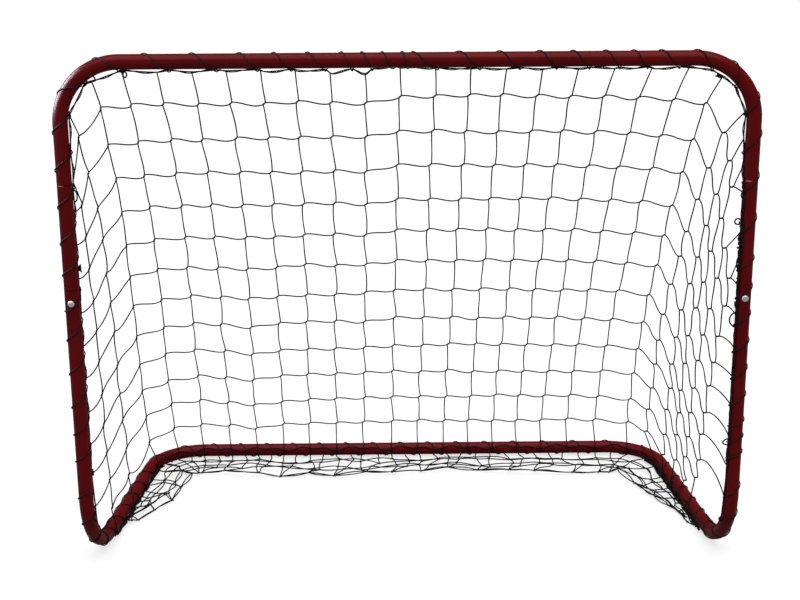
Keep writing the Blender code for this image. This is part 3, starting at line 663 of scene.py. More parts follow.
@dataclass
class CordTree:
    """Geometry nodes that sweep a cord along lines, twist its strands and tie its knots.

    The lines come as a mesh of edges. A loose vertex is a knot: its up attribute gives the
    cord that the knot is tied on, and a short coil of cord is wound round that direction.
    """

    INPUTS = (("Cord Radius", 0.0012), ("Strand Relief", 0.0), ("Lay", 0.5), ("Step", 0.004),
              ("Knot Radius", 0.0016), ("Knot Length", 0.005), ("Knot Wraps", 2.5))
    KNOT_SIDES, KNOT_STEPS = 4, 6
    name: str
    finish: Finish
    sides: int

    def __post_init__(self) -> None:
        """Write the tree."""
        self.tree = bpy.data.node_groups.new(self.name, "GeometryNodeTree")
        self.writer = NodeWriter(self.tree)
        self._write()

    def _write(self) -> None:
        """Write the nodes from the group's inputs to its output."""
        face = self.tree.interface
        face.new_socket("Lines", in_out="INPUT", socket_type="NodeSocketGeometry")
        for label, value in self.INPUTS:
            made = face.new_socket(label, in_out="INPUT", socket_type="NodeSocketFloat")
            made.default_value = value
        face.new_socket("Cord", in_out="OUTPUT", socket_type="NodeSocketGeometry")
        w = self.writer
        given = w.node("NodeGroupInput")
        sizes = given.outputs
        radius, lay = w.out(given, "Cord Radius"), w.out(given, "Lay")
        is_knot = w.node("GeometryNodeInputNamedAttribute", {"data_type": "BOOLEAN"},
                         {"Name": "knot"})
        parted = w.node("GeometryNodeSeparateGeometry", {"domain": "POINT"},
                        {"Geometry": sizes["Lines"], "Selection": is_knot})
        lines = w.node("GeometryNodeMeshToCurve", inputs={"Mesh": parted.outputs["Inverted"]})
        even = w.node("GeometryNodeResampleCurve", {"mode": "LENGTH"},
                      {"Curve": lines, "Length": sizes["Step"]})
        section = self._section(radius, w.out(given, "Strand Relief"), self.sides)
        swept = self._sweep(even, section, lay)
        coil = w.node("GeometryNodeCurveSpiral", inputs={
            "Resolution": self.KNOT_STEPS, "Rotations": sizes["Knot Wraps"],
            "Start Radius": sizes["Knot Radius"], "End Radius": sizes["Knot Radius"],
            "Height": sizes["Knot Length"]})
        down = w.node("ShaderNodeCombineXYZ", inputs={"Z": w.out(given, "Knot Length") * -0.5})
        centred = w.node("GeometryNodeTransform", inputs={"Geometry": coil, "Translation": down})
        knot = self._sweep(centred, self._section(radius, 0.0, self.KNOT_SIDES), lay)
        up = w.node("GeometryNodeInputNamedAttribute", {"data_type": "FLOAT_VECTOR"},
                    {"Name": "up"})
        turned = w.node("FunctionNodeAlignRotationToVector", {"axis": "Z"}, {"Vector": up})
        tied = w.node("GeometryNodeInstanceOnPoints", inputs={
            "Points": parted.outputs["Selection"], "Instance": knot, "Rotation": turned})
        both = w.node("GeometryNodeJoinGeometry")
        w.feed(both.inputs["Geometry"], swept)
        w.feed(both.inputs["Geometry"], tied)
        real = w.node("GeometryNodeRealizeInstances", inputs={"Geometry": both})
        dressed = w.node("GeometryNodeSetMaterial", inputs={
            "Geometry": real, "Material": self.finish.material()})
        w.node("NodeGroupOutput", inputs={"Cord": dressed})

    def _section(self, radius: Value, relief: Value | float, sides: int) -> Node:
        """The cord's section: a circle with three lobes as deep as the relief.

        Args:
            radius: radius of the cord.
            relief: share of the radius that the hollows between strands lose.
            sides: points round the section.

        Returns:
            The node that gives the section curve.
        """
        w = self.writer
        circle = w.node("GeometryNodeCurvePrimitiveCircle", {"mode": "RADIUS"},
                        {"Resolution": sides, "Radius": 1.0})
        place = w.node("GeometryNodeInputPosition")
        parts = w.node("ShaderNodeSeparateXYZ", inputs={"Vector": place})
        angle = w.maths("ARCTAN2", w.out(parts, "Y"), w.out(parts, "X"))
        lobe = radius * (1 - relief * (0.5 - (angle * 3.0).cosine() * 0.5))
        kept = w.node("GeometryNodeStoreNamedAttribute",
                      {"data_type": "FLOAT_VECTOR", "domain": "POINT"},
                      {"Geometry": circle, "Name": "around", "Value": place})
        scaled = w.node("ShaderNodeVectorMath", {"operation": "SCALE"},
                        {"Vector": place, "Scale": lobe})
        return w.node("GeometryNodeSetPosition", inputs={"Geometry": kept, "Position": scaled})

    def _sweep(self, curve: Node, section: Node,
               lay: Value) -> Node:
        """Sweep the section along a curve, turned once in every lay.

        Args:
            curve: the node that gives the lines to follow.
            section: the node that gives the cord's section.
            lay: length of one turn of the strands.

        Returns:
            The node that gives the swept mesh.
        """
        w = self.writer
        along = w.out(w.node("GeometryNodeSplineParameter"), "Length")
        kept = w.node("GeometryNodeStoreNamedAttribute",
                      {"data_type": "FLOAT", "domain": "POINT"},
                      {"Geometry": curve, "Name": "along", "Value": along})
        twisted = w.node("GeometryNodeSetCurveTilt", inputs={
            "Curve": kept, "Tilt": along * FULL_TURN / lay})
        swept = w.node("GeometryNodeCurveToMesh", inputs={
            "Curve": twisted, "Profile Curve": section, "Fill Caps": True})
        return w.node("GeometryNodeSetShadeSmooth", inputs={"Geometry": swept})

    def identifier(self, label: str) -> str:
        """Identifier of a named input."""
        return next(s.identifier for s in self.tree.interface.items_tree
                    if s.name == label and s.in_out == "INPUT")


@dataclass
class CordLines:
    """Lines and knots that a cord tree turns into cord."""

    points: list[Vector] = field(default_factory=list)
    edges: list[tuple[int, int]] = field(default_factory=list)
    knots: list[tuple[Vector, Vector]] = field(default_factory=list)

    def line(self, points: Sequence[Vector]) -> None:
        """Add a line through points."""
        first = len(self.points)
        self.points.extend(points)
        self.edges.extend((first + k, first + k + 1) for k in range(len(points) - 1))

    def knot(self, place: Vector, up: Vector) -> None:
        """Add a knot at a place, wound round a direction."""
        self.knots.append((place, up.normalized()))

    def swept(self, name: str, tree: CordTree, **sizes: float) -> Object:
        """Sweep the cord and keep the result as a plain mesh.

        Args:
            name: the piece's name.
            tree: the tree that sweeps it.
            sizes: values of the tree's inputs, named with underscores.

        Returns:
            The cord.
        """
        mesh = bpy.data.meshes.new(name + "_lines")
        places = self.points + [place for place, _ in self.knots]
        mesh.from_pydata([tuple(p) for p in places], self.edges, [])
        mesh.attributes.new("knot", "BOOLEAN", "POINT")
        mesh.attributes.new("up", "FLOAT_VECTOR", "POINT")
        flags, ups = mesh.attributes["knot"].data, mesh.attributes["up"].data
        for k, (_, up) in enumerate(self.knots, start=len(self.points)):
            flags[k].value = True
            ups[k].vector = up
        carrier = linked(name + "_carrier", mesh)
        modifier = carrier.modifiers.new("cord", "NODES")
        modifier.node_group = tree.tree
        for label, value in sizes.items():
            modifier[tree.identifier(label.replace("_", " ").title())] = value
        plain = plain_mesh(carrier, modifier)
        plain.name = name
        bpy.data.objects.remove(carrier)
        return linked(name, plain)


def eased(start: Vector, end: Vector, leave: Vector, arrive: Vector,
          steps: int) -> list[Vector]:
    """A smooth line between two points.

    Args:
        start: first point.
        end: last point.
        leave: direction and pull at the start.
        arrive: direction and pull at the end.
        steps: number of pieces.

    Returns:
        The points of the line.
    """
    points = []
    for t in spaced(0.0, 1.0, steps):
        a = (1 + 2 * t) * (1 - t) ** 2
        b = t * (1 - t) ** 2
        c = t * t * (3 - 2 * t)
        d = t * t * (t - 1)
        points.append(start * a + leave * b + end * c + arrive * d)
    return points


# Tubes

End = tuple[Vector, Vector, Vector]
Station = tuple[Vector, Vector, Vector, float, float]


@dataclass
class TubeFrame:
    """The eight painted tubes and the two sleeves inside their seams."""

    lines: CentreLines
    sides: int = 48
    bend_steps: int = 24
    upper_spigot: float = 0.032
    post_spigot: float = 0.045
    side_spigot: float = 0.040
    sleeve_length: float = 0.090
    sleeve_wall: float = 0.0012
    lip: float = 0.0004
    lip_middle: float = 0.3
    shoulder_steps: int = 4
    support: float = 0.0012

    def build(self) -> None:
        """Build every tube and sleeve."""
        for side in Side:
            for name, maker in (("upper_corner_tube", self.upper_corner),
                                ("post_tube", self.post), ("foot_tube", self.foot),
                                ("rear_corner_tube", self.rear_corner)):
                node = f"{name}_{side.label}"
                finished(self.tube(node + "_painted", maker(side.value)), RED_PAINT, node)
        for node in ("crossbar_joint_sleeve", "rear_bar_joint_sleeve"):
            low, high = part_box(node)
            centre = (low + high) / 2
            ends = [(centre + AXIS_X * (self.sleeve_length * k), AXIS_X, -AXIS_Z)
                    for k in (-0.5, 0.5)]
            outer = self.lines.sizes.tube_radius - self.lines.sizes.wall - self.lines.sizes.fit
            stations = [(*end, outer, outer - self.sleeve_wall) for end in ends]
            finished(self.tube(node + "_drawn", stations, BARE_STEEL), BARE_STEEL, node)

    def tube(self, name: str, stations: Sequence[Station],
             finish: Finish = RED_PAINT) -> Object:
        """Sweep a tube with a bore through its stations.

        Args:
            name: the piece's name.
            stations: (centre, heading, inner side, outer radius, bore radius) in order.
            finish: the finish that it wears.

        Returns:
            The tube.
        """
        bm = bmesh.new()
        rings = []
        for centre, heading, inner, outer, bore in stations:
            across = heading.cross(inner)
            pair = []
            for radius in (outer, bore):
                pair.append([bm.verts.new(centre + radius * (
                    inner * math.cos(FULL_TURN * k / self.sides)
                    + across * math.sin(FULL_TURN * k / self.sides)))
                    for k in range(self.sides)])
            rings.append(pair)
        for k in range(self.sides):
            j = (k + 1) % self.sides
            for (one, one_bore), (two, two_bore) in zip(rings, rings[1:]):
                bm.faces.new((one[k], one[j], two[j], two[k]))
                bm.faces.new((one_bore[j], one_bore[k], two_bore[k], two_bore[j]))
            (first, first_bore), (last, last_bore) = rings[0], rings[-1]
            bm.faces.new((first[k], first_bore[k], first_bore[j], first[j]))
            bm.faces.new((last[k], last[j], last_bore[j], last_bore[k]))
        return object_from(name, bm, finish)

    def full(self, spot: End) -> Station:
        """Station of the full tube."""
        radius = self.lines.sizes.tube_radius
        return (*spot, radius, radius - self.lines.sizes.wall)

    def rim(self, spot: End, into: float) -> list[Station]:
        """Stations of a rounded end that starts at a spot.

        Args:
            spot: (centre, heading, inner side) of the end.
            into: 1 where the tube goes on along the heading, -1 where it ends there.

        Returns:
            The stations in the order of the heading.
        """
        point, heading, inner = spot
        radius = self.lines.sizes.tube_radius
        bore = radius - self.lines.sizes.wall
        steps = ((0.0, self.lip), (self.lip * self.lip_middle, self.lip * self.lip_middle),
                 (self.lip, 0.0), (self.lip + self.support, 0.0))
        stations = [(point + heading * (into * along), heading, inner, radius - loss, bore)
                    for along, loss in steps]
        return stations if into > 0 else stations[::-1]

    def spigot(self, spot: End, length: float) -> list[Station]:
        """Stations of a drawn-in end: a rounded shoulder, a neck and a small chamfer.

        Args:
            spot: (centre, heading, inner side) where the shoulder begins.
            length: how far the end goes on beyond it.

        Returns:
            The stations in the order of the heading.
        """
        point, heading, inner = spot
        s = self.lines.sizes
        radius = s.tube_radius
        neck = radius - s.wall - s.fit
        stations = [self.full((point - heading * self.support, heading, inner))]
        for k in range(self.shoulder_steps + 1):
            angle = math.pi * k / self.shoulder_steps
            outer = (radius + neck) / 2 + (radius - neck) / 2 * math.cos(angle)
            along = s.shoulder * k / self.shoulder_steps
            stations.append((point + heading * along, heading, inner, outer, outer - s.wall))
        end = point + heading * length
        stations.append((end - heading * self.lip, heading, inner, neck, neck - s.wall))
        stations.append((end, heading, inner, neck - self.lip, neck - s.wall))
        return stations

    def bend(self, half: Route, index: int, spot_at: Callable[[float], Spot],
             side: int) -> list[End]:
        """Spots round a bend with their headings away from the middle of the goal.

        Args:
            half: half of the line that the bend is on.
            index: index of the bend in it.
            spot_at: gives the spot at a distance along the whole line.
            side: -1 for the left half, 1 for the right half.

        Returns:
            The spots.
        """
        along = half.starts[index]
        return [self.outward(spot_at(side * (along + beyond)), side)
                for beyond in spaced(0.0, half.runs[index].length, self.bend_steps)]

    @staticmethod
    def outward(spot: Spot, side: int) -> End:
        """A spot with its heading away from the middle of the goal."""
        return spot.point, spot.heading * side, spot.inner

    def upper_corner(self, side: int) -> list[Station]:
        """Half of the crossbar, the top bend and the drop to the upper joint."""
        lines, s = self.lines, self.lines.sizes
        start = self.outward(lines.upper(side * s.fit / 2), side)
        bend = self.bend(lines.upper_half[side], lines.TOP_BEND, lines.upper, side)
        joint = Vector((side * s.post_x, s.mouth_y, s.upper_joint_z))
        shoulder = (joint + AXIS_Z * (s.shoulder + s.fit), -AXIS_Z, -AXIS_X * side)
        return (self.rim(start, 1) + [self.full(spot) for spot in bend]
                + self.spigot(shoulder, self.upper_spigot))

    def post(self, side: int) -> list[Station]:
        """The straight middle of a post."""
        s = self.lines.sizes
        inner = -AXIS_X * side
        top = (Vector((side * s.post_x, s.mouth_y, s.upper_joint_z)), -AXIS_Z, inner)
        foot = Vector((side * s.post_x, s.mouth_y, s.post_joint_z + s.shoulder + s.fit))
        return self.rim(top, 1) + self.spigot((foot, -AXIS_Z, inner), self.post_spigot)

    def foot(self, side: int) -> list[Station]:
        """The front of a base side, the foot bend and the lower post."""
        lines, s = self.lines, self.lines.sizes
        half = lines.base_half[side]
        joint = self.outward(lines.base(side * self.side_joint(side)), side)
        bend = self.bend(half, lines.FOOT_BEND, lines.base, side)
        top = (Vector((side * s.post_x, s.mouth_y, s.post_joint_z)), AXIS_Z, bend[-1][2])
        return self.rim(joint, 1) + [self.full(spot) for spot in bend] + self.rim(top, -1)

    def rear_corner(self, side: int) -> list[Station]:
        """Half of the rear bar, the rear bend and the rear of a base side."""
        lines, s = self.lines, self.lines.sizes
        start = self.outward(lines.base(side * s.fit / 2), side)
        bend = self.bend(lines.base_half[side], lines.REAR_BEND, lines.base, side)
        reach = self.side_joint(side) - s.shoulder - s.fit
        shoulder = self.outward(lines.base(side * reach), side)
        return (self.rim(start, 1) + [self.full(spot) for spot in bend]
                + self.spigot(shoulder, self.side_spigot))

    def side_joint(self, side: int) -> float:
        """How far along the base line the joint in a base side lies."""
        half = self.lines.base_half[side]
        run = half.runs[self.lines.BASE_SIDE]
        s = self.lines.sizes
        slant = abs(run.heading.x) * s.tube_radius
        return half.starts[self.lines.BASE_SIDE] + (run.start.y - s.side_joint_y + slant) / abs(
            run.heading.y)


# Lacing and edge cord

class Stretch(NamedTuple):
    """A stretch of lacing wound at an even pitch."""

    turns: float
    pitch: float


@dataclass
class Lacing:
    """Cord wound round the tubes. Its turns are counted from the middle of a bar."""

    lines: CentreLines
    _: KW_ONLY
    cord_radius: float = 0.0012
    strand_relief: float = 0.28
    lay: float = 0.0085
    step: float = 0.0016
    corner_turn: float = 9.5
    points_per_turn: int = 32

    def point(self, turn: float) -> Vector:
        """Centre of the cord at a turn; each lacing has its own."""
        raise NotImplementedError

    def wind(self, node: str, first: float, last: float, tree: CordTree) -> None:
        """Wind one piece of lacing in place of its CAD node.

        Args:
            node: the CAD node.
            first: the turn at which it begins.
            last: the turn at which it ends.
            tree: the tree that sweeps the cord.
        """
        count = math.ceil(abs(last - first) * self.points_per_turn)
        cord = CordLines()
        cord.line([self.point(turn) for turn in spaced(first, last, count)])
        made = cord.swept(node + "_cord", tree, cord_radius=self.cord_radius,
                          strand_relief=self.strand_relief, lay=self.lay, step=self.step)
        finished(made, LACING, node)


@dataclass
class UpperLacing(Lacing):
    """The cord wound by hand round the crossbar and the posts, turn by turn.

    A whole turn lies on the outer side of the frame, a half turn on its inner side, over the
    edge cord. Turn 0 and turn 1 lie side by side at the middle of the crossbar.
    """

    edge_cord: float = 0.0034
    spread_height: float = 0.0048
    middle: float = 0.008
    last_height: float = 0.166
    front_quarter: float = 0.25
    screw_turns: range = range(10, 20)
    screw_clearance: float = 0.0088
    roll_height: float = 0.700
    roll_over: float = 0.030
    tucked: Pair = (-0.055, 0.058)
    tucked_roll: float = -0.60
    left_roll: float = -0.75
    right_roll: float = 0.62
    left: tuple[Stretch, ...] = (
        Stretch(3, 0.0323), Stretch(3, 0.0543), Stretch(4, 0.0763), Stretch(4, 0.062),
        Stretch(2, 0.0535), Stretch(3, 0.060), Stretch(4, 0.0495))
    right: tuple[Stretch, ...] = (
        Stretch(1, 0.076), Stretch(2, 0.0645), Stretch(2, 0.053), Stretch(2, 0.0445),
        Stretch(4, 0.0577), Stretch(3, 0.070), Stretch(6, 0.048), Stretch(3, 0.029),
        Stretch(3, 0.049))

    def __post_init__(self) -> None:
        """Find the last turns and push the lacing clear of the screws."""
        self.detours = {side.value: (0.0, 0.0) for side in Side}
        s = self.lines.sizes
        for side in Side:
            front = self.front_quarter if side is Side.RIGHT else 1 - self.front_quarter
            crossings = [side.value * (turn + front) for turn in self.screw_turns]
            near = min(crossings, key=lambda turn: abs(self.height(turn) - s.screw_z))
            wanted = s.screw_z + side.value * self.screw_clearance
            self.detours[side.value] = (near, wanted - self.height(near))
        self.last = {side.value: self._last_turn(side.value) for side in Side}

    def reach(self, turns: float, side: int) -> float:
        """How far a number of turns from the middle has come."""
        total = 0.0
        stretches = self.left if side < 0 else self.right
        for stretch in stretches[:-1]:
            taken = min(turns, stretch.turns)
            total += taken * stretch.pitch
            turns -= taken
        return total + turns * stretches[-1].pitch

    def distance(self, turn: float) -> float:
        """Distance along the upper line at a turn."""
        if 0 <= turn <= 1:
            return self.middle * (2 * turn - 1)
        side = 1 if turn > 1 else -1
        whole = self.middle + self.reach(turn - 1 if turn > 1 else -turn, side)
        near, shift = self.detours[side]
        if abs(turn - near) < 0.5:
            whole -= shift * math.cos(math.pi * (turn - near)) ** 2
        return side * whole

    def height(self, turn: float) -> float:
        """Height of the lacing at a turn on a post."""
        return self.lines.upper(self.distance(turn)).point.z

    def _last_turn(self, side: int) -> float:
        """The half turn at which the lacing of a post ends."""
        turn = self.corner_turn
        while self.height(side * (turn + 1)) > self.last_height:
            turn += 1
        return side * turn

    def roll(self, distance: float) -> float:
        """Angle of the edge cord from the inner side; above 0 it lies towards the mouth."""
        beyond = abs(distance) - self.lines.post_distance(self.roll_height)
        within = min(distance - self.tucked[0], self.tucked[1] - distance)
        if within > 0:
            return self.tucked_roll * min(within / self.roll_over, 1.0)
        roll = self.right_roll if distance > 0 else self.left_roll
        return roll * min(max(beyond / self.roll_over, 0.0), 1.0)

    def point(self, turn: float) -> Vector:
        """Centre of the cord at a turn."""
        spot = self.lines.upper(self.distance(turn))
        angle = (turn - 0.5) * FULL_TURN
        spoke = spot.spoke(angle)
        snug = self.lines.sizes.tube_radius + self.cord_radius
        spread = math.acos(snug / (snug + self.spread_height))
        angle += self.roll(self.distance(turn))
        off = abs(math.atan2(math.sin(angle), math.cos(angle)))
        reach = min(snug / math.cos(max(0.0, spread - off)), snug + self.edge_cord)
        return spot.point + spoke * reach

    def holds(self) -> list[float]:
        """Distances at which the lacing holds the edge cord, from left to right."""
        first, last = self.last[-1], self.last[1]
        return [self.distance(first + k) for k in range(round(last - first) + 1)]

    def build(self, tree: CordTree) -> None:
        """Build the lacing of the crossbar and of both posts."""
        corner = self.corner_turn
        self.wind("lacing_left_post", self.last[-1], -corner, tree)
        self.wind("lacing_crossbar", -corner, corner, tree)
        self.wind("lacing_right_post", corner, self.last[1], tree)


@dataclass
class BaseLacing(Lacing):
    """The cord wound round the rear bar, the base sides and the foot bends."""

    plan: "NetPlan"
    side_pitch: float = 0.0535
    last_turn: float = 18.25
    roll: float = math.pi / 4

    def distance(self, turn: float) -> float:
        """Distance along the base line at a turn."""
        beyond = abs(turn) - self.corner_turn
        if beyond <= 0:
            return self.plan.bottom_distance(turn)
        side = math.copysign(1, turn)
        return self.plan.bottom_distance(side * self.corner_turn) + side * beyond * self.side_pitch

    def point(self, turn: float) -> Vector:
        """Centre of the cord at a turn."""
        spot = self.lines.base(self.distance(turn))
        spoke = spot.spoke((turn - 0.5) * FULL_TURN - self.roll)
        return spot.point + spoke * (self.lines.sizes.tube_radius + self.cord_radius)

    def build(self, tree: CordTree) -> None:
        """Build the lacing of the rear bar and of both base sides."""
        corner, last = self.corner_turn, self.last_turn
        self.wind("lacing_left_base", -last, -corner, tree)
        self.wind("lacing_rear", -corner, corner, tree)
        self.wind("lacing_right_base", corner, last, tree)


class TieKind(Enum):
    """Kinds of ties, knots and snarls on the edge cord."""

    RING = "ring"
    KNOT = "knot"
    BIGHT = "bight"
    SNARL = "snarl"
    STAY = "stay"


class Tie(NamedTuple):
    """A tie on the edge cord: its kind, its distance along the upper line, reach and length."""

    kind: TieKind
    distance: float
    reach: float
    length: float


@dataclass
class EdgeCord:
    """The thick cord along the inner side of the frame, with the net's selvedge round it.

    The lacing holds it against the tube at every half turn. Between two holds it runs
    straight, so it cuts across the bends, and the net draws it inwards.
    """

    lines: CentreLines
    lacing: UpperLacing
    plan: "NetPlan"
    cord_radius: float = 0.0015
    selvedge_radius: float = 0.0008
    selvedge_lay: float = 0.070
    step: float = 0.003
    pull: Pair = (0.0012, 0.0034)
    post_pull: float = 0.5
    pull_power: float = 1.6
    peak_limit: float = 0.25
    slack_pull: float = 0.0075
    slack_from: float = -0.130
    slack_to: float = -0.058
    seed: int = 11

    def __post_init__(self) -> None:
        """Settle how far each stretch between two holds is drawn in."""
        rng = random.Random(self.seed)
        self.holds = self.lacing.holds()
        half = self.lines.upper_half[1]
        bend, post = half.starts[self.lines.TOP_BEND], half.starts[self.lines.UPPER_POST]
        self.pulls = []
        for start, end in zip(self.holds, self.holds[1:]):
            middle = (start + end) / 2
            drawn = rng.uniform(*self.pull)
            if self.slack_from < middle < self.slack_to:
                drawn = self.slack_pull
            elif abs(middle) > bend:
                drawn *= self.post_pull if abs(middle) > post else 0.0
            self.pulls.append(drawn)
        self.columns = [self.plan.top_distance(column) for column in self.plan.columns()]

    def held(self, distance: float) -> Vector:
        """Centre of the cord where it lies against the tube."""
        spot = self.lines.upper(distance)
        roll = self.lacing.roll(distance)
        spoke = fanned(spot.inner, -AXIS_Y, roll)
        return spot.point + spoke * (self.lines.sizes.tube_radius + self.cord_radius)

    def clear(self, place: Vector, spot: Spot, radius: float) -> Vector:
        """A place moved out to where a cord of a radius rests on the tube."""
        away = place - spot.point
        away -= spot.heading * away.dot(spot.heading)
        least = self.lines.sizes.tube_radius + radius
        if away.length < least:
            return place + away.normalized() * (least - away.length)
        return place

    def point(self, distance: float) -> Vector:
        """Centre of the cord at a distance along the upper line."""
        distance = min(max(distance, self.holds[0]), self.holds[-1])
        k = 0
        while k + 2 < len(self.holds) and distance > self.holds[k + 1]:
            k += 1
        start, end = self.holds[k], self.holds[k + 1]
        share = (distance - start) / (end - start)
        drawn_at = [(c - start) / (end - start) for c in self.columns if start < c < end]
        peak = min(max(drawn_at[0] if drawn_at else 0.5, self.peak_limit), 1 - self.peak_limit)
        rise = share / peak if share < peak else (1 - share) / (1 - peak)
        shape = math.sin(rise * math.pi / 2) ** self.pull_power
        inner = self.lines.upper((start + end) / 2).inner
        return self.held(start).lerp(self.held(end), share) + inner * (self.pulls[k] * shape)

    def selvedge_point(self, distance: float) -> Vector:
        """Centre of the selvedge strand, wound round the cord but outside the tube."""
        spot = self.lines.upper(distance)
        centre = self.point(distance)
        spoke = fanned(spot.inner, AXIS_Y, distance * FULL_TURN / self.selvedge_lay)
        place = centre + spoke * (self.cord_radius + self.selvedge_radius)
        return self.clear(place, spot, self.selvedge_radius)

    def build(self, lacing_tree: CordTree, twine_tree: CordTree) -> None:
        """Build the cord and its selvedge strand.

        Args:
            lacing_tree: the tree that sweeps the cord.
            twine_tree: the tree that sweeps the strand.
        """
        count = math.ceil((self.holds[-1] - self.holds[0]) / self.step)
        places = spaced(self.holds[0], self.holds[-1], count)
        cord = CordLines()
        cord.line([self.point(place) for place in places])
        finished(cord.swept("net_edge_cord_laid", lacing_tree, cord_radius=self.cord_radius,
                            strand_relief=0.22, lay=0.011, step=0.0022), LACING, "net_edge_cord")
        strand = CordLines()
        strand.line([self.selvedge_point(place) for place in places])
        finished(strand.swept("net_selvedge_strand", twine_tree,
                              cord_radius=self.selvedge_radius, step=self.step), NET_TWINE)


@dataclass
class CordTies:
    """Ties, stubs and snarls, left where the edge cord was knotted and mended, and its ends."""

    lines: CentreLines
    edge: EdgeCord
    cord_radius: float = 0.0016
    ring_steps: int = 16
    ring_forward: float = 0.001
    bight_steps: int = 12
    bight_power: float = 0.6
    bight_bow: float = 0.002
    stub_angles: Pair = (0.9, -0.7)
    stub_forward: Pair = (0.1, 0.5)
    stub_length: float = 0.004
    stub_kink: float = 0.0006
    stay_kink: float = 0.0008
    snarl_step: float = 0.0006
    snarl_pitch: float = 0.0075
    snarl_jitter: float = 0.3
    snarl_sway: float = 0.002
    snarl_beat: float = 2.3
    snarl_growth: float = 0.35
    snarl_least: float = 0.3
    ends: tuple[tuple[int, float, float], ...] = ((-1, 0.131, 0.093), (1, 0.100, 0.084))
    end_gap: float = 0.0024
    end_start: float = 0.006
    end_lean: float = 0.0012
    end_tilt: float = 0.45
    foot_places: tuple[float, ...] = (0.045, 0.030, 0.012, -0.006, -0.024)
    seed: int = 11

    def places(self) -> tuple[Tie, ...]:
        """The ties, from the crossbar down the left post and then down the right one."""
        post = self.lines.post_distance
        return (Tie(TieKind.RING, -0.4535, 0.0095, 0.006),
                Tie(TieKind.STAY, -0.512, 0.0, 0.0),
                Tie(TieKind.SNARL, -0.526, 0.0012, 0.024),
                Tie(TieKind.BIGHT, -post(0.670), 0.0060, 0.022),
                Tie(TieKind.KNOT, -post(0.546), 0.0050, 0.006),
                Tie(TieKind.KNOT, 0.512, 0.0035, 0.008),
                Tie(TieKind.SNARL, 0.556, 0.0012, 0.022),
                Tie(TieKind.SNARL, post(0.662), 0.0022, 0.050),
                Tie(TieKind.RING, post(0.622), 0.0105, 0.010),
                Tie(TieKind.SNARL, post(0.604), 0.0042, 0.034),
                Tie(TieKind.SNARL, post(0.582), 0.0052, 0.020),
                Tie(TieKind.BIGHT, post(0.550), 0.0050, 0.024),
                Tie(TieKind.SNARL, post(0.545), 0.0024, 0.080),
                Tie(TieKind.KNOT, post(0.480), 0.0030, 0.006),
                Tie(TieKind.BIGHT, post(0.452), 0.0115, 0.028),
                Tie(TieKind.SNARL, post(0.376), 0.0020, 0.024),
                Tie(TieKind.BIGHT, post(0.232), 0.0115, 0.013),
                Tie(TieKind.BIGHT, post(0.205), 0.0030, 0.030))

    def build(self, tree: CordTree) -> None:
        """Build all of them as one piece."""
        rng = random.Random(self.seed)
        cord = CordLines()
        for tie in self.places():
            self.add(cord, tie, rng)
        for side, leave, low in self.ends:
            cord.line(self.fall(side, leave, low))
        for distance in (self.edge.holds[0], self.edge.holds[-1]):
            self.add(cord, Tie(TieKind.KNOT, distance, 0.0020, 0.006), rng)
        made = cord.swept("edge_cord_ties", tree, cord_radius=self.cord_radius,
                          strand_relief=0.25, lay=0.008, step=0.0018, knot_radius=0.0024,
                          knot_length=0.0062, knot_wraps=3.0)
        finished(made, LACING)

    def add(self, cord: CordLines, tie: Tie, rng: random.Random) -> None:
        """Add one tie.

        Args:
            cord: the lines to add to.
            tie: the tie.
            rng: source of small differences.
        """
        spot = self.lines.upper(tie.distance)
        centre = self.edge.point(tie.distance)
        if tie.kind is TieKind.RING:
            cord.line(self.ring(tie, spot, centre))
        elif tie.kind is TieKind.BIGHT:
            cord.line(self.bight(tie, spot))
        elif tie.kind is TieKind.KNOT:
            cord.knot(centre + spot.inner * tie.reach / 2, spot.heading)
            for angle in self.stub_angles:
                out = fanned(spot.inner, spot.heading, angle)
                out -= AXIS_Y * rng.uniform(*self.stub_forward)
                end = centre + out.normalized() * (tie.reach + self.stub_length)
                cord.line([centre, centre.lerp(end, 0.5) + spot.heading * self.stub_kink, end])
        elif tie.kind is TieKind.STAY:
            rest = spot.point + spot.inner * self.lines.sizes.tube_radius
            cord.line([rest, rest.lerp(centre, 0.5) + spot.heading * self.stay_kink, centre])
        else:
            cord.line(self.snarl(tie, spot, rng))

    def ring(self, tie: Tie, spot: Spot, centre: Vector) -> list[Vector]:
        """A closed ring that hangs inwards from the cord."""
        middle = centre + spot.inner * (tie.reach / 2 + self.edge.cord_radius)
        turns = spaced(0.0, FULL_TURN, self.ring_steps)
        return [middle + spot.inner * (math.cos(turn) * tie.reach / 2)
                + spot.heading * (math.sin(turn) * tie.length / 2)
                - AXIS_Y * self.ring_forward for turn in turns]

    def bight(self, tie: Tie, spot: Spot) -> list[Vector]:
        """A slack loop that leaves the cord and comes back to it.

        Args:
            tie: the tie, whose length is that of the loop's foot.
            spot: the spot on the tube beside it.

        Returns:
            The points of the loop.
        """
        points = []
        for share in spaced(0.0, 1.0, self.bight_steps):
            swell = math.sin(math.pi * share) ** self.bight_power
            base = self.edge.point(tie.distance + tie.length / 2 * (2 * share - 1))
            points.append(base + spot.inner * (tie.reach * swell)
                          - AXIS_Y * (self.bight_bow * math.sin(4 * share)))
        return points

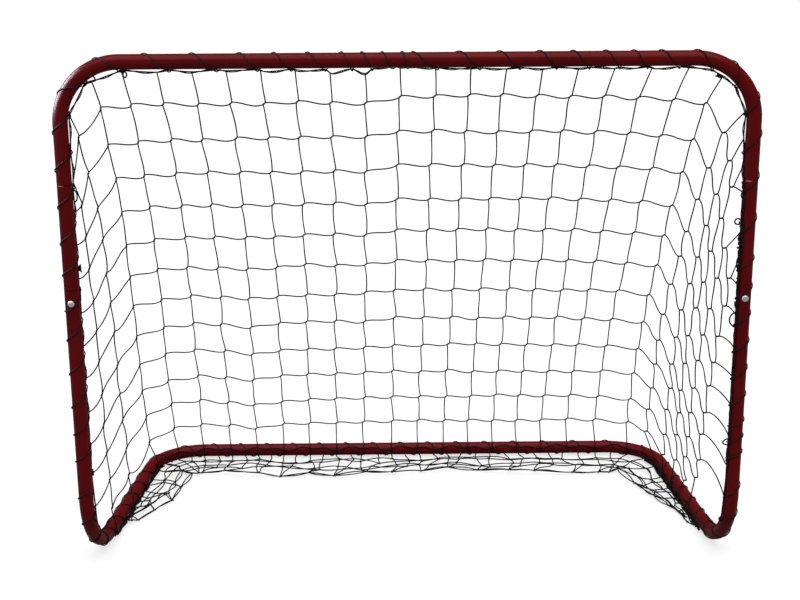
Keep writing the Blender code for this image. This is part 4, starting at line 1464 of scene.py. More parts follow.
    def snarl(self, tie: Tie, spot: Spot, rng: random.Random) -> list[Vector]:
        """Untidy turns round the cord, kept clear of the tube.

        Args:
            tie: the tie, whose reach is how far the turns stand off the cord.
            spot: the spot on the tube beside it.
            rng: source of small differences.

        Returns:
            The points of the turns.
        """
        points = []
        spread = 1.0
        for share in spaced(0.0, 1.0, math.ceil(tie.length / self.snarl_step)):
            angle = FULL_TURN * tie.length / self.snarl_pitch * share + rng.uniform(
                -self.snarl_jitter, self.snarl_jitter)
            along = tie.length * (share - 0.5) + self.snarl_sway * math.sin(
                self.snarl_beat * angle)
            spread += rng.uniform(-self.snarl_growth, self.snarl_growth)
            spread = min(max(spread, self.snarl_least), 1.0)
            spoke = fanned(spot.inner, -AXIS_Y, angle)
            place = self.edge.point(tie.distance + along) + spoke * (tie.reach * spread)
            points.append(self.edge.clear(place, self.lines.upper(tie.distance + along),
                                          self.cord_radius))
        return points

    def fall(self, side: int, leave: float, low: float) -> list[Vector]:
        """The cord's end: down beside the post's foot, then over the base tube and along it.

        Args:
            side: -1 for the left end, 1 for the right end.
            leave: height at which the end leaves the post.
            low: height from which it goes over to the base tube.

        Returns:
            The points of the end.
        """
        lines, s = self.lines, self.lines.sizes
        inwards = -AXIS_X * side
        near = Vector((side * s.post_x, s.mouth_y, 0.0)) + inwards * (s.tube_radius + self.end_gap)
        points = [self.edge.point(side * lines.post_distance(leave)),
                  near + AXIS_Z * (leave - self.end_start),
                  near + inwards * self.end_lean + AXIS_Z * low]
        foot = lines.base_half[side].starts[lines.FOOT_BEND]
        for beyond in self.foot_places:
            spot = lines.base(side * (foot + beyond))
            top = spot.heading.cross(spot.inner)
            outer = (top * math.copysign(1, top.z) - spot.inner * self.end_tilt).normalized()
            points.append(spot.point + outer * (s.tube_radius + self.edge.cord_radius))
        return points


# Net

class Sag(NamedTuple):
    """A column round which the lower rows of the back net hang low, and by how much."""

    column: float
    width: float
    depth: float


class SideKnot(NamedTuple):
    """A knot of a side net's row, counted from the fold.

    It lies a share of the net's depth in front of the fold, and lower than it. The drop is
    less where the net is deep.
    """

    share: float
    drop: float
    lift: float


@dataclass
class NetPlan:
    """Where the knots of the net lie, laid out from the crossbar and the rear bar."""

    lines: CentreLines
    half_columns: int = 9
    rows: int = 13
    top_pitch: float = 0.0566
    top_shift: float = -0.012
    top_stretch: float = 0.0102
    bottom_pitch: float = 0.0573
    bottom_shift: float = -0.030
    bottom_stretch: float = 0.045
    stretch_power: int = 8
    left_bow: float = 0.026
    right_bow: float = 0.034
    right_bow_power: float = 1.6
    right_swell_power: float = 0.5
    right_foot: float = 0.090
    foot_from: float = 0.56
    swell_power: float = 0.85
    left_lift: float = 0.14
    right_lift: float = 0.30
    outer_lift_loss: float = 0.85
    outer_lift_power: int = 4
    edge_offset: float = 0.0143
    cord_surface: float = 0.0024
    tube_gap: float = 0.0009
    sag_from: float = 0.2
    sag_over: float = 0.5
    left_crowding: Pair = (0.7, 3.0)
    right_crowding: Pair = (1.25, -1.35)
    sags: tuple[Sag, ...] = (Sag(-5, 1.1, 0.017), Sag(-9.3, 1.5, 0.013))
    left_knots: tuple[SideKnot, ...] = (SideKnot(0.42, 0.050, 0.125), SideKnot(0.75, 0.108, 0.255))
    left_post_drop: float = 0.116
    left_post_rise: float = 0.24
    right_knots: tuple[SideKnot, ...] = (
        SideKnot(0.19, 0.053, 0.115), SideKnot(0.33, 0.100, 0.15), SideKnot(0.40, 0.139, 0.13),
        SideKnot(0.52, 0.190, 0.185), SideKnot(0.70, 0.245, 0.275))
    least_depths: Pair = (0.006, 0.0115)
    side_lowest: float = 0.036
    post_lowest: float = 0.085

    def columns(self) -> range:
        """Columns from left to right."""
        return range(-self.half_columns, self.half_columns + 1)

    def _distance(self, column: float, pitch: float, shift: float, stretch: float) -> float:
        """Distance of a column along a bar, drawn out towards the corners."""
        share = column / self.half_columns
        drawn = math.copysign(stretch * abs(share) ** self.stretch_power, share)
        return column * pitch + shift * (1 - share ** 2) + drawn

    def top_distance(self, column: float) -> float:
        """Where a column hangs along the crossbar."""
        return self._distance(column, self.top_pitch, self.top_shift, self.top_stretch)

    def bottom_distance(self, column: float) -> float:
        """Where a column is tied along the rear bar."""
        return self._distance(column, self.bottom_pitch, self.bottom_shift, self.bottom_stretch)

    def foot_distance(self, column: float) -> float:
        """Where a column comes down on the rear bar: the right-hand ones are drawn in."""
        share = max(column / self.half_columns, 0.0)
        return self.bottom_distance(column) - self.right_foot * share ** self.right_bow_power

    @staticmethod
    def square_to(direction: Vector, heading: Vector) -> Vector:
        """Unit vector of a direction's part that is square to a heading."""
        return (direction - heading * direction.dot(heading)).normalized()

    def column_ends(self, column: int) -> tuple[Vector, Vector]:
        """Upper and lower end of a column."""
        top = self.lines.upper(self.top_distance(column))
        foot = self.lines.base(self.foot_distance(column))
        hung = top.point + top.inner * self.edge_offset
        down = foot.point - hung
        surface = self.lines.sizes.tube_radius + self.tube_gap
        return (hung + self.square_to(down, top.heading) * self.cord_surface,
                foot.point + self.square_to(-down, foot.heading) * surface)

    def back_knot(self, row: int, column: int) -> Vector:
        """Knot of the back net: rows are near level and columns bow towards the middle."""
        upper, lower = self.column_ends(column)
        down = row / self.rows
        share = abs(column) / self.half_columns
        lift = self.right_lift if column >= 0 else self.left_lift
        lift *= 1 - self.outer_lift_loss * share ** self.outer_lift_power
        down -= lift * (1 - down ** 2) / self.rows
        middle_upper, middle_lower = self.column_ends(0)
        height = middle_upper.z + (middle_lower.z - middle_upper.z) * down
        spot = upper.lerp(lower, (upper.z - height) / (upper.z - lower.z))
        swell = math.sin(math.pi * down)
        if column > 0:
            swell **= self.right_swell_power
            return spot - AXIS_X * (self.right_bow * share ** self.right_bow_power * swell)
        swell **= self.swell_power
        grown = min(max((down - self.sag_from) / self.sag_over, 0.0), 1.0)
        for sag in self.sags:
            near = math.exp(-((column - sag.column) / sag.width) ** 2)
            spot += (lower - upper).normalized() * (sag.depth * grown * near)
        return spot + AXIS_X * (self.left_bow * share * swell * (1 - down))

    def side_places(self, side: int, depth: float) -> list[Pair]:
        """Depth behind the mouth, and drop, of each knot in a row of a side net.

        Args:
            side: -1 for the left net, 1 for the right net.
            depth: depth of the net at the row.

        Returns:
            (depth, drop) from the fold to the post.
        """
        places = []
        start, growth = self.left_crowding if side < 0 else self.right_crowding
        for knot in self.left_knots if side < 0 else self.right_knots:
            if side < 0:
                share = 1 - (1 - knot.share) * min(1.0, start + growth * depth)
            else:
                share = knot.share * (start + growth * depth)
            places.append((depth * (1 - share), knot.drop - knot.lift * depth))
        return [place for place in places if place[0] > self.least_depths[side > 0]]


@dataclass
class Netting:
    """Strands and knots, which every part of the net is made of."""

    lines: CentreLines
    plan: NetPlan
    edge: EdgeCord
    base: BaseLacing
    tree: CordTree
    twine_radius: float = 0.0012
    knot_reach: float = 0.0030
    knot_coil: float = 0.0009
    strand_step: float = 0.0045
    row_steps: int = 12
    sway_mix: Triple = (1.0, 0.7, 0.4)
    knot_shake: Triple = (0.0016, 0.0025, 0.0016)
    lean_start: float = 0.15
    lean_growth: float = 0.17
    bar_angle: float = math.radians(-20)
    leave_angle: float = math.radians(-38)
    face_shake: Triple = (0.006, 0.003, 0.0)
    face_pull: float = 0.8
    face_knot_angle: float = 0.3
    face_knot_lift: float = 0.0012
    bar_steps: int = 12
    bar_row_angle: float = 0.5
    bar_row_wave: float = 0.32
    bar_row_beats: Pair = (0.83, 1.7)
    rear_turns: int = 9
    least_height: float = 0.0013
    seed: int = 5

    def __post_init__(self) -> None:
        """Lay out the knots of the back net and shake them a little."""
        self.rng = random.Random(self.seed)
        self.back = {}
        upper, lower = self.plan.column_ends(0)
        self.up = (upper - lower).normalized()
        self.slant = (AXIS_X + self.up).normalized()
        for row in range(1, self.plan.rows):
            for column in self.plan.columns():
                self.back[row, column] = self.plan.back_knot(row, column) + self.shake(
                    *self.knot_shake)

    def shake(self, x: float, y: float, z: float) -> Vector:
        """A small random step."""
        return Vector([self.rng.uniform(-size, size) for size in (x, y, z)])

    def lean(self, column: int) -> Vector:
        """Direction of the knots of a column: upright at the left, slanting further right."""
        share = min(1.0, self.lean_start + self.lean_growth * (column + self.plan.half_columns))
        return (AXIS_X * share + self.up).normalized()

    def column_strand(self, cord: CordLines, upper: Vector, lower: Vector, slant: Vector,
                      sway: float = 0.14) -> None:
        """A strand of a column: from the upper knot's lower end to the next one's upper end."""
        reach = slant * self.knot_reach
        self.slack_strand(cord, upper - reach, lower + reach, sway)

    def slack_strand(self, cord: CordLines, start: Vector, end: Vector, sway: float,
                     steps: int = 10) -> None:
        """A strand that sways a little to either side.

        Args:
            cord: the lines to add to.
            start: where the strand begins.
            end: where it ends.
            sway: how far it may sway, as a share of its length.
            steps: number of pieces.
        """
        span = end - start
        sizes = [span.length * sway * share for share in self.sway_mix]
        points = eased(start, end, span + self.shake(*sizes), span + self.shake(*sizes), steps)
        for point in points:
            point.z = max(point.z, self.least_height)
        cord.line(points)

    def around(self, distance: float, angle: float, lift: float = 0.0) -> Vector:
        """Place on the base tube, by its angle above the inner side."""
        spot = self.lines.base(distance)
        radius = self.lines.sizes.tube_radius + self.twine_radius + lift
        return spot.point + fanned(spot.inner, AXIS_Z, angle) * radius

    def down_the_face(self, cord: CordLines, knot: Vector, distance: float) -> None:
        """A column's last strand: down to the inner face of the base tube and round it.

        Args:
            cord: the lines to add to.
            knot: the column's last knot.
            distance: where the strand comes down, along the base line.
        """
        start = knot - self.slant * self.knot_reach
        end = self.around(distance, self.bar_angle)
        spot = self.lines.base(distance)
        along = spot.inner * math.sin(self.bar_angle) - AXIS_Z * math.cos(self.bar_angle)
        span = end - start
        points = eased(start, end, span + self.shake(*self.face_shake),
                       along * span.length * self.face_pull, 10)
        points += [self.around(distance, angle)
                   for angle in spaced(self.bar_angle, self.leave_angle, 3)[1:]]
        cord.line(points)
        cord.knot(self.around(distance, self.bar_angle + self.face_knot_angle,
                              self.face_knot_lift), spot.heading + AXIS_Z)

    def bar_row(self, cord: CordLines, first: float, last: float) -> None:
        """The wavy row strand along the inner face of the base tube."""
        points = []
        count = round((last - first) * self.bar_steps)
        phase = self.rng.uniform(0, FULL_TURN)
        beat, swell = self.bar_row_beats
        for turn in spaced(first, last, count):
            wave = self.bar_row_wave * math.sin(FULL_TURN * turn * beat + phase)
            angle = self.bar_row_angle + wave * math.cos(swell * turn)
            points.append(self.around(self.base.distance(turn), angle))
        cord.line(points)

    def piece(self, node: str, cord: CordLines) -> None:
        """Sweep one piece of the net in place of its CAD node."""
        made = cord.swept(node + "_twine", self.tree, cord_radius=self.twine_radius,
                          step=self.strand_step, knot_radius=self.knot_coil,
                          knot_length=2 * self.knot_reach, knot_wraps=2.0)
        finished(made, NET_TWINE, node)


@dataclass
class BackNet:
    """The back net, with its row along the face of the rear bar."""

    net: Netting
    row_leave: Pair = (0.10, 0.38)
    row_arrive: Pair = (0.32, 0.66)
    row_bulge: float = 0.10
    top_sway: float = 0.06

    def build(self) -> None:
        """Build the back net."""
        self.net.piece("net_back", self.back_lines())

    def back_lines(self) -> CordLines:
        """The back net, with its row along the face of the rear bar."""
        net = self.net
        cord = CordLines()
        columns = net.plan.columns()
        for column in columns:
            top = net.edge.point(net.plan.top_distance(column))
            first = net.back[1, column] + net.lean(column) * net.knot_reach
            net.slack_strand(cord, top, first, self.top_sway)
            for row in range(1, net.plan.rows - 1):
                net.column_strand(cord, net.back[row, column], net.back[row + 1, column],
                                  net.lean(column))
            net.down_the_face(cord, net.back[net.plan.rows - 1, column],
                              net.plan.foot_distance(column))
        for row in range(1, net.plan.rows):
            for column in columns[:-1]:
                self.row_strand(cord, row, column)
        for (_, column), knot in net.back.items():
            cord.knot(knot, net.lean(column))
        net.bar_row(cord, -net.rear_turns, net.rear_turns)
        return cord

    def row_strand(self, cord: CordLines, row: int, column: int) -> None:
        """A strand of a row: leaves a knot's upper end and rises to the next one's lower end."""
        net = self.net
        up = net.up
        start = net.back[row, column] + net.lean(column) * net.knot_reach
        end = net.back[row, column + 1] - net.lean(column + 1) * net.knot_reach
        span = end - start
        size = span.length
        leave, arrive = [
            span + up * (size * net.rng.uniform(*pull)) + net.shake(0.0, size * self.row_bulge, 0.0)
            for pull in (self.row_leave, self.row_arrive)]
        cord.line(eased(start, end, leave, arrive, net.row_steps))


@dataclass
class SideNets:
    """The two side nets, between the folds of the back net, the posts and the base."""

    net: Netting
    side_slants: Pair = (0.35, 0.22)
    side_knot_shake: Triple = (0.0012, 0.003, 0.003)
    last_side_turn: float = 14.5
    left_slope: tuple[float, float, float, float] = (-0.5, 0.35, -0.4, 0.5)
    right_slope: tuple[float, float, float, float] = (0.25, 0.5, 0.1, 0.35)
    slope_pulls: Pair = (0.9, 0.8)
    post_bow: Pair = (0.15, 0.5)
    post_pull: float = 0.8
    post_drop: float = 0.006
    post_slack: float = 0.004
    post_rise: float = 0.040
    post_gap: float = 0.0015
    foot_draw: float = 1.25
    edge_sway: float = 0.1
    column_sway: float = 0.2

    def __post_init__(self) -> None:
        """Work out which way the knots of each side net slant."""
        left, right = self.side_slants
        self.side_slant = {-1: (AXIS_X * left + self.net.up).normalized(),
                           1: (AXIS_X + self.net.up * right).normalized()}

    def build(self) -> None:
        """Build both side nets."""
        for side in Side:
            self.net.piece(f"net_side_{side.label}", self.side_lines(side.value))

    def fold_at(self, side: int, height: float) -> Vector:
        """Place on the fold between the back net and a side net at a height."""
        plan = self.net.plan
        column = side * plan.half_columns
        ends = plan.column_ends(column)
        fold = [ends[0]] + [self.net.back[row, column] for row in range(1, plan.rows)] + [ends[1]]
        for upper, lower in zip(fold, fold[1:]):
            if height > lower.z:
                break
        return upper.lerp(lower, (upper.z - height) / (upper.z - lower.z))

    def side_spot(self, side: int, depth: float, height: float) -> Vector:
        """Place on a side net by its depth behind the mouth and its height."""
        net = self.net
        s = net.lines.sizes
        fold = self.fold_at(side, height)
        post_x = side * (s.post_x - net.plan.edge_offset - self.post_gap)
        share = depth / (fold.y - s.mouth_y)
        x = post_x + (fold.x - post_x) * share
        if side > 0:
            low = max(1 - height / s.top_z - net.plan.foot_from, 0.0)
            drawn = net.plan.right_foot * low / (1 - net.plan.foot_from)
            x += drawn * self.foot_draw * (share - share ** 3)
        return Vector((x, s.mouth_y + depth, height))

    def side_lines(self, side: int) -> CordLines:
        """A side net: long diamonds between the fold of the back net, the post and the base."""
        net = self.net
        plan, s = net.plan, net.lines.sizes
        cord = CordLines()
        knots = {}
        slant = self.side_slant[side]
        for row in range(1, plan.rows):
            fold = net.back[row, side * plan.half_columns]
            depth = fold.y - s.mouth_y
            places = plan.side_places(side, depth)
            chain = [fold]
            for place, drop in places:
                if fold.z - drop < plan.side_lowest:
                    break
                chain.append(self.side_spot(side, place, fold.z - drop)
                             + net.shake(*self.side_knot_shake))
                knots[row, len(chain) - 1] = chain[-1]
            for one, two in zip(chain, chain[1:]):
                self.slope_strand(cord, one, two, side)
            if len(chain) > 1 and len(chain) == len(places) + 1:
                height = chain[-1].z - self.post_drop
                if side < 0:
                    height = fold.z - plan.left_post_drop + plan.left_post_rise * depth
                if height > plan.post_lowest:
                    self.post_strand(cord, chain[-1], side, height)
        for (row, k), knot in knots.items():
            cord.knot(knot, slant)
            if (row - 1, k) not in knots:
                post = side * net.lines.post_distance(knot.z + self.post_rise)
                net.slack_strand(cord, net.edge.point(post), knot + slant * net.knot_reach,
                                 self.edge_sway)
            if (row + 1, k) in knots:
                net.column_strand(cord, knot, knots[row + 1, k], slant, self.column_sway)
            else:
                self.base_strand(cord, knot, side)
        net.bar_row(cord, side * net.rear_turns, side * self.last_side_turn)
        return cord

    def slope_strand(self, cord: CordLines, one: Vector, two: Vector, side: int) -> None:
        """A row strand of a side net, which hangs in an S between two knots."""
        net = self.net
        reach = self.side_slant[side] * (net.knot_reach * side)
        start, end = one + reach, two - reach
        span = end - start
        size = span.length
        axis, limits = (AXIS_Z, self.left_slope) if side < 0 else (AXIS_X, self.right_slope)
        pull = self.slope_pulls[side > 0]
        leave, arrive = [span * pull + axis * (size * net.rng.uniform(*pair))
                         for pair in (limits[:2], limits[2:])]
        cord.line(eased(start, end, leave, arrive, net.row_steps))

    def post_strand(self, cord: CordLines, knot: Vector, side: int, height: float) -> None:
        """The end of a side net's row, drawn in to the edge cord of the post.

        Args:
            cord: the lines to add to.
            knot: the row's last knot.
            side: -1 for the left net, 1 for the right net.
            height: height at which the strand reaches the post.
        """
        net = self.net
        target = net.edge.point(side * net.lines.post_distance(height))
        if height < target.z - self.post_slack:
            target = self.post_face(side, height)
        start = knot + self.side_slant[side] * (net.knot_reach * side)
        span = target - start
        size = span.length
        bow = AXIS_Z * (side * size * net.rng.uniform(*self.post_bow))
        cord.line(eased(start, target, span * self.post_pull + bow, span * self.post_pull - bow,
                        net.row_steps))

    def post_face(self, side: int, height: float) -> Vector:
        """Place on the inner face of the lower post or of its foot bend."""
        net = self.net
        s = net.lines.sizes
        inwards = AXIS_X * (-side * (s.tube_radius + net.plan.tube_gap))
        rise = (height - s.base_z) / s.foot_bend
        if rise >= 1:
            return Vector((side * s.post_x, s.mouth_y, height)) + inwards
        half = net.lines.base_half[side]
        along = half.starts[net.lines.FOOT_BEND] + s.foot_bend * math.acos(1 - rise)
        return net.lines.base(side * along).point + inwards

    def base_strand(self, cord: CordLines, knot: Vector, side: int) -> None:
        """The end of a side net's column, down the inner face of the base side."""
        net = self.net
        half = net.lines.base_half[side]
        run = half.runs[net.lines.BASE_SIDE]
        along = min(max((run.start.y - knot.y) / abs(run.heading.y), 0.0), run.length)
        net.down_the_face(cord, knot, side * (half.starts[net.lines.BASE_SIDE] + along))


@dataclass
class LooseNet:
    """The loose edge of the net, which lies on the floor and is gathered along the base."""

    net: Netting
    flap_reach: float = 0.104
    flap_wave: float = 0.013
    flap_wave_start: float = 4.5
    flap_wave_turns: float = 9.3
    flap_taper_from: float = 13.4
    flap_taper: float = 3.4
    flap_least: float = 0.22
    flap_corner_loss: float = 0.25
    flap_corner_turn: float = 9.6
    flap_corner_width: float = 1.3
    flap_drift: float = 0.16
    flap_shake: float = 0.008
    flap_rise: Pair = (-0.003, 0.006)
    flap_start: float = 0.6
    flap_knot_turn: Triple = (1.0, 1.0, 0.2)
    flap_strand_steps: tuple[int, int, int] = (9, 7, 11)
    flap_steps: tuple[Triple, ...] = (
        (0.0, 0.34, 0.008), (0.1, 0.68, 0.006), (0.0, 1.0, 0.004), (0.45, 0.66, 0.0024),
        (0.55, 0.32, 0.0030))
    flap_sway: float = 0.55
    tail_sway: float = 0.5
    front_sway: float = 0.40
    edge_row: int = 3
    last_flap_turn: int = 13
    bunch_strands: int = 6
    bunch_from: float = 8.6
    bunch_to: float = 14.2
    bunch_steps: int = 90
    bunch_angle: float = math.radians(-33)
    bunch_lift: float = 0.0011
    bunch_sway: float = 0.28
    bunch_beats: Pair = (1.3, 2.1)
    bunch_lift_mix: Pair = (0.6, 0.4)

    def build(self) -> None:
        """Lay out the knots from left to right, then build the rear piece and both sides."""
        net = self.net
        self.flap = {turn: self.flap_chain(turn)
                     for turn in range(-self.last_flap_turn, self.last_flap_turn + 1)}
        rear, last = net.rear_turns, self.last_flap_turn
        net.piece("net_floor_rear", self.floor_lines(-rear, rear))
        for side in Side:
            net.piece(f"net_floor_{side.label}",
                           self.floor_lines(side.value * rear, side.value * last))

    def front(self, turn: float) -> float:
        """How far the loose flap reaches in from the base tube at a turn."""
        phase = (turn + self.flap_wave_start) / self.flap_wave_turns
        wave = self.flap_wave * math.sin(FULL_TURN * phase)
        taper = (self.flap_taper_from - abs(turn)) / self.flap_taper
        taper = min(max(taper, self.flap_least), 1.0)
        beyond = (abs(turn) - self.flap_corner_turn) / self.flap_corner_width
        corner = 1 - self.flap_corner_loss * math.exp(-beyond ** 2)
        return (self.flap_reach + wave) * taper * corner

    def flap_spot(self, turn: float, share: float, height: float) -> Vector:
        """Place of a knot of the flap.

        Args:
            turn: where the knot lies along the base tube.
            share: its share of the way from the tube to the flap's front edge.
            height: its height above the floor, before a small random one is added.

        Returns:
            The place.
        """
        net = self.net
        turn += net.rng.uniform(-self.flap_drift, self.flap_drift)
        spot = net.lines.base(net.base.distance(turn))
        least = net.lines.sizes.tube_radius
        reach = least + (self.front(turn) - least) * share + net.rng.uniform(
            -self.flap_shake, self.flap_shake)
        place = spot.point + spot.inner * max(reach, least * self.flap_start)
        place.z = max(height + net.rng.uniform(*self.flap_rise), net.least_height)
        return place

    def flap_chain(self, turn: int) -> list[Vector]:
        """Knots of one column of the flap: forward to the edge, then folded back under."""
        net = self.net
        return [net.around(net.base.distance(turn), net.leave_angle)] + [
            self.flap_spot(turn + drift, share, height)
            for drift, share, height in self.flap_steps]

    def floor_lines(self, first: int, last: int) -> CordLines:
        """A stretch of the loose flap on the floor, joined to the stretch before it.

        Args:
            first: turn of the neighbour's last column, or of the first one.
            last: turn of the last column.

        Returns:
            Its strands and knots.
        """
        net = self.net
        cord = CordLines()
        step = 1 if last > first else -1
        order = range(first, last + step, step)
        chains = [self.flap[turn] for turn in order]
        along, tail_steps, across = self.flap_strand_steps
        for chain in chains if order[0] == -net.rear_turns else chains[1:]:
            for one, two in zip(chain, chain[1:]):
                net.slack_strand(cord, one, two, self.flap_sway, along)
            tail = net.around(net.base.distance(self.flap_turn(chain)), net.leave_angle)
            net.slack_strand(cord, chain[-1], tail, self.tail_sway, tail_steps)
            for knot in chain[1:]:
                cord.knot(knot, net.shake(*self.flap_knot_turn))
        if abs(last) > net.rear_turns:
            for k in range(self.bunch_strands):
                self.bunched(cord, math.copysign(1, last), self.bunch_lift * k)
        for one, two in zip(chains, chains[1:]):
            for k, (left, right) in enumerate(zip(one, two)):
                if k:
                    net.slack_strand(cord, left, right, self.flap_sway, across)
                if k == self.edge_row:
                    net.slack_strand(cord, left, right, self.front_sway, across)
        return cord

    def bunched(self, cord: CordLines, side: float, lift: float) -> None:
        """A strand of the gathered selvedge along the inner foot of a base side.

        Args:
            cord: the lines to add to.
            side: -1 for the left side, 1 for the right side.
            lift: how far the strand lies off the tube.
        """
        net = self.net
        points = []
        phase = net.rng.uniform(0, FULL_TURN)
        beat, swell = self.bunch_beats
        least, more = self.bunch_lift_mix
        for beyond in spaced(self.bunch_from, self.bunch_to, self.bunch_steps):
            turn = side * beyond
            sway = math.sin(FULL_TURN * turn * beat + phase) * math.cos(swell * turn - phase)
            angle = self.bunch_angle + self.bunch_sway * sway
            place = net.around(net.base.distance(turn), angle, lift * (least + more * sway))
            place.z = max(place.z, net.least_height)
            points.append(place)
        cord.line(points)

    def flap_turn(self, chain: list[Vector]) -> float:
        """The turn at which a folded column of the flap comes back to the tube."""
        return next(turn for turn, other in self.flap.items() if other is chain) + 0.5


# Screws

@dataclass
class PostScrews:
    """A zinc screw and its nut through each post."""

    head_radius: float = 0.0056
    head_height: float = 0.0028
    head_rim: float = 0.0005
    head_steps: int = 8
    shank_radius: float = 0.0025
    thread_depth: float = 0.0003
    thread_pitch: float = 0.0008
    threads: int = 9
    tip_gap: float = 0.0006
    tip_chamfer: float = 0.0004
    tip_loss: float = 0.0009
    recess_half_width: float = 0.0006
    recess_reach: float = 0.0028
    recess_depth: float = 0.0013
    recess_turn: float = 0.3
    nut_across: float = 0.008
    nut_chamfer: float = 0.0005
    nut_clearance: float = 0.00012
    nut_sides: int = 36
    nut_edge: float = math.radians(25)
    sides: int = 40

    def build(self) -> None:
        """Build both screws and both nuts."""
        for side in Side:
            node = f"post_screw_{side.label}"
            finished(self.screw(node), ZINC, node)
            node = f"post_nut_{side.label}"
            finished(self.nut(node), ZINC, node)

    def turned(self, centre: Vector, profile: Sequence[Pair],
               sides: int) -> BMesh:
        """Turn a profile of (depth, radius) pairs round a level axis along +Y.

        Args:
            centre: origin of the axis.
            profile: depth and radius of each ring; a radius of 0 closes the end.
            sides: points round the axis.

        Returns:
            The turned mesh.
        """
        bm = bmesh.new()
        rings = []
        for depth, radius in profile:
            count = sides if radius else 1
            rings.append([bm.verts.new(centre + Vector((
                radius * math.cos(FULL_TURN * k / sides), depth,
                radius * math.sin(FULL_TURN * k / sides)))) for k in range(count)])
        for one, two in zip(rings, rings[1:]):
            for k in range(sides):
                j = (k + 1) % sides
                corners = [one[k % len(one)], one[j % len(one)], two[j % len(two)],
                           two[k % len(two)]]
                bm.faces.new(list(dict.fromkeys(corners)))
        return bm

    def screw(self, node: str) -> Object:
        """A pan head screw with a cross recess and a threaded end."""
        low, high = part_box(node)
        centre = Vector(((low.x + high.x) / 2, 0, (low.z + high.z) / 2))
        seat = low.y + self.head_height
        profile = [(low.y, 0.0)]
        for k in range(1, self.head_steps + 1):
            angle = math.pi / 2 * k / self.head_steps
            crown = (self.head_height - self.head_rim) * math.cos(angle)
            profile.append((seat - crown - self.head_rim, self.head_radius * math.sin(angle)))
        profile.append((seat, self.head_radius))
        profile.append((seat, self.shank_radius))
        start = high.y - self.threads * self.thread_pitch - self.tip_gap
        for k in range(self.threads):
            profile.append((start + k * self.thread_pitch, self.shank_radius))
            profile.append((start + (k + 0.5) * self.thread_pitch,
                            self.shank_radius - self.thread_depth))
        profile.append((high.y - self.tip_chamfer, self.shank_radius - self.thread_depth))
        profile.append((high.y, self.shank_radius - self.tip_loss))
        profile.append((high.y, 0.0))
        made = object_from(node + "_zinc", self.turned(centre, profile, self.sides), ZINC)
        self.recess(made, Vector((centre.x, low.y, centre.z)))
        return made

    def recess(self, screw: Object, face: Vector) -> None:
        """Cut the cross recess into a screw's head."""
        cutter = bmesh.new()
        for turn in (self.recess_turn, self.recess_turn + math.pi / 2):
            arm = bmesh.ops.create_cube(cutter, size=1)["verts"]
            bmesh.ops.scale(cutter, verts=arm, vec=(
                2 * self.recess_reach, 2 * self.recess_depth, 2 * self.recess_half_width))
            bmesh.ops.rotate(cutter, verts=arm, cent=(0, 0, 0),
                             matrix=Matrix.Rotation(turn, 3, "Y"))
            bmesh.ops.translate(cutter, verts=arm, vec=face)
        mesh = bpy.data.meshes.new("recess_cutter")
        cutter.to_mesh(mesh)
        cutter.free()
        tool = linked("recess_cutter", mesh)
        modifier = screw.modifiers.new("recess", "BOOLEAN")
        modifier.operation = "DIFFERENCE"
        modifier.solver = "EXACT"
        modifier.use_self = True
        modifier.object = tool
        screw.data = plain_mesh(screw, modifier)
        bpy.data.objects.remove(tool)

    def nut(self, node: str) -> Object:
        """A hexagonal nut with a bore; a ring with no radius of its own is the hexagon."""
        low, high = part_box(node)
        centre = Vector(((low.x + high.x) / 2, 0, (low.z + high.z) / 2))
        cut, half, sides = self.nut_chamfer, self.nut_across / 2, self.nut_sides
        bore = self.shank_radius + self.nut_clearance
        bm = bmesh.new()
        rings = []
        for depth, radius in ((low.y, half), (low.y + cut, None), (high.y - cut, None),
                              (high.y, half), (high.y, bore), (low.y, bore)):
            ring = []
            for k in range(sides):
                angle = FULL_TURN * k / sides
                off = (angle + math.pi / 6) % (math.pi / 3) - math.pi / 6
                size = radius or half / math.cos(off)
                ring.append(bm.verts.new(centre + Vector((
                    size * math.cos(angle), depth, size * math.sin(angle)))))
            rings.append(ring)
        for one, two in zip(rings, rings[1:] + rings[:1]):
            for k in range(sides):
                j = (k + 1) % sides
                bm.faces.new((one[k], one[j], two[j], two[k]))
        return object_from(node + "_zinc", bm, ZINC, self.nut_edge)


# Studio

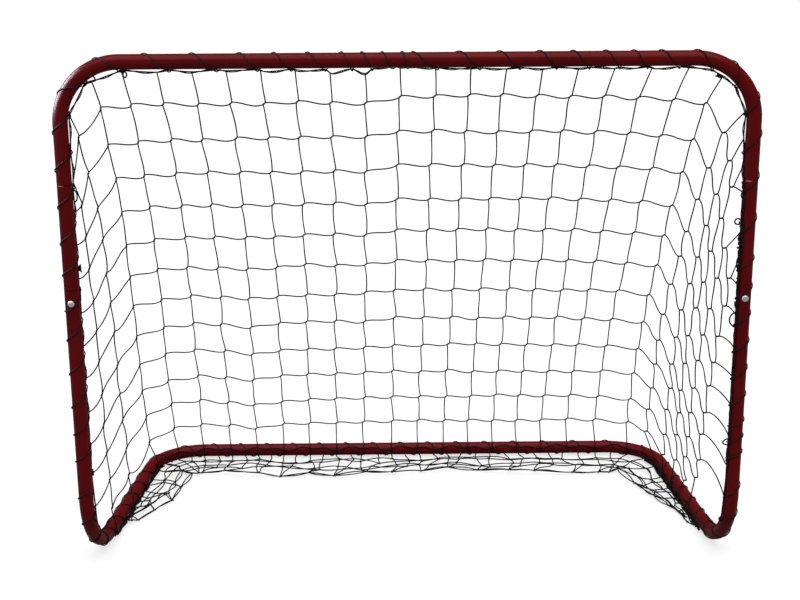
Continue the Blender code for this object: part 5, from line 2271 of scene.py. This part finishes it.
@dataclass
class Studio:
    """Pale floor, white surroundings, soft lamps and the photograph's camera."""

    focal_length: float = 67.79
    sensor: float = 36.0
    from_mouth: Vector = field(default_factory=lambda: Vector((-0.0363, -2.4242, 1.1962)))
    yaw: float = math.radians(0.516)
    pitch: float = math.radians(16.31)
    roll: float = math.radians(-0.332)
    floor_to_camera: Triple = (0.88, 0.88, 0.88)
    floor_to_goal: Triple = (0.22, 0.22, 0.22)
    floor_glow: float = 1.17
    floor_glow_share: float = 0.6
    sky: float = 0.38
    sky_in_gloss: float = 0.10
    sun_strength: float = 2.3
    sun_width: float = math.radians(70)
    sun_place: Triple = (0.1, -0.6, 2.2)
    glare_size: Pair = (0.5, 0.37)
    glare_power: float = 19
    glare_colour: Triple = (0.88, 0.84, 1.0)
    glare_place: Triple = (-1.0, -0.205, 1.005)
    glare_aim: Triple = (-0.53, -0.26, 0.86)
    floor_size: float = 60
    floor_roughness: float = 0.9
    floor_drop: float = 0.0005

    def build(self, lines: CentreLines) -> None:
        """Make the camera, the floor, the world and the lamps."""
        self.camera(lines)
        self.floor()
        self.world()
        self.lamps()

    def camera(self, lines: CentreLines) -> None:
        """Put the camera where the photograph was taken from."""
        s = lines.sizes
        data = bpy.data.cameras.new("photo_camera")
        data.lens = self.focal_length
        data.sensor_width = self.sensor
        data.clip_end = 100
        made = linked("photo_camera", data)
        place = self.from_mouth + Vector((0, s.mouth_y, s.base_z - s.tube_radius))
        turn = (Matrix.Rotation(-self.yaw, 4, "Z")
                @ Matrix.Rotation(math.pi / 2 - self.pitch, 4, "X")
                @ Matrix.Rotation(self.roll, 4, "Z"))
        made.matrix_world = Matrix.Translation(place) @ turn
        bpy.context.scene.camera = made

    def floor(self) -> None:
        """A wide floor, white to the camera and grey to the goal, that keeps a soft shadow."""
        bm = bmesh.new()
        bmesh.ops.create_grid(bm, x_segments=1, y_segments=1, size=self.floor_size)
        mesh = bpy.data.meshes.new("studio_floor")
        bm.to_mesh(mesh)
        bm.free()
        material = bpy.data.materials.new("studio_floor")
        material.use_nodes = True
        writer = NodeWriter(material.node_tree)
        shader = material.node_tree.nodes["Principled BSDF"]
        shader.inputs["Roughness"].default_value = self.floor_roughness
        shader.inputs["Specular IOR Level"].default_value = 0.0
        path = writer.node("ShaderNodeLightPath")
        seen = writer.out(path, "Is Camera Ray")
        writer.feed(shader.inputs["Base Color"],
                    writer.mix(seen, self.floor_to_goal, self.floor_to_camera))
        white = writer.node("ShaderNodeEmission", inputs={
            "Color": (1, 1, 1, 1), "Strength": self.floor_glow})
        mixed = writer.node("ShaderNodeMixShader", inputs={
            0: seen * self.floor_glow_share, 1: shader, 2: white})
        writer.feed(material.node_tree.nodes["Material Output"].inputs["Surface"], mixed)
        mesh.materials.append(material)
        made = linked("studio_floor", mesh)
        made.location.z = -self.floor_drop

    def world(self) -> None:
        """White to the camera, a plain grey light for the rest, darker still in gloss."""
        world = bpy.data.worlds.new("studio_world")
        bpy.context.scene.world = world
        world.use_nodes = True
        writer = NodeWriter(world.node_tree)
        background = world.node_tree.nodes["Background"]
        path = writer.node("ShaderNodeLightPath")
        seen = writer.maths("MAXIMUM", writer.out(path, "Is Camera Ray"),
                            writer.out(path, "Is Transmission Ray"))
        glossy = writer.out(path, "Is Glossy Ray")
        rest = self.sky + glossy * (self.sky_in_gloss - self.sky)
        writer.feed(background.inputs["Strength"], rest + seen * (1 - rest))
        background.inputs["Color"].default_value = (1, 1, 1, 1)

    def lamps(self) -> None:
        """A wide sun above, and a cool lamp at the left rear that glares on one bend."""
        sun = bpy.data.lights.new("soft_sun", "SUN")
        sun.energy = self.sun_strength
        sun.angle = self.sun_width
        glare = bpy.data.lights.new("left_glare", "AREA")
        glare.shape = "RECTANGLE"
        glare.size, glare.size_y = self.glare_size
        glare.energy = self.glare_power
        glare.color = self.glare_colour
        for data, place, aim in ((sun, self.sun_place, (0, 0, 0)),
                                 (glare, self.glare_place, self.glare_aim)):
            made = linked(data.name, data)
            made.location = place
            made.rotation_euler = (Vector(aim) - Vector(place)).to_track_quat(
                "-Z", "Y").to_euler()
            made.visible_diffuse = data is not glare


def main() -> None:
    lines = CentreLines(FrameSizes())
    Studio().build(lines)
    TubeFrame(lines).build()
    PostScrews().build()
    lacing_tree = CordTree("laid_lacing", LACING, 12)
    twine_tree = CordTree("laid_twine", NET_TWINE, 6)
    plan = NetPlan(lines)
    lacing = UpperLacing(lines)
    lacing.build(lacing_tree)
    base = BaseLacing(lines, plan)
    base.build(lacing_tree)
    edge = EdgeCord(lines, lacing, plan)
    edge.build(lacing_tree, twine_tree)
    CordTies(lines, edge).build(lacing_tree)
    net = Netting(lines, plan, edge, base, twine_tree)
    for part in (BackNet(net), SideNets(net), LooseNet(net)):
        part.build()
    bpy.context.scene.view_settings.view_transform = "Standard"


if __name__ == "__main__":
    main()
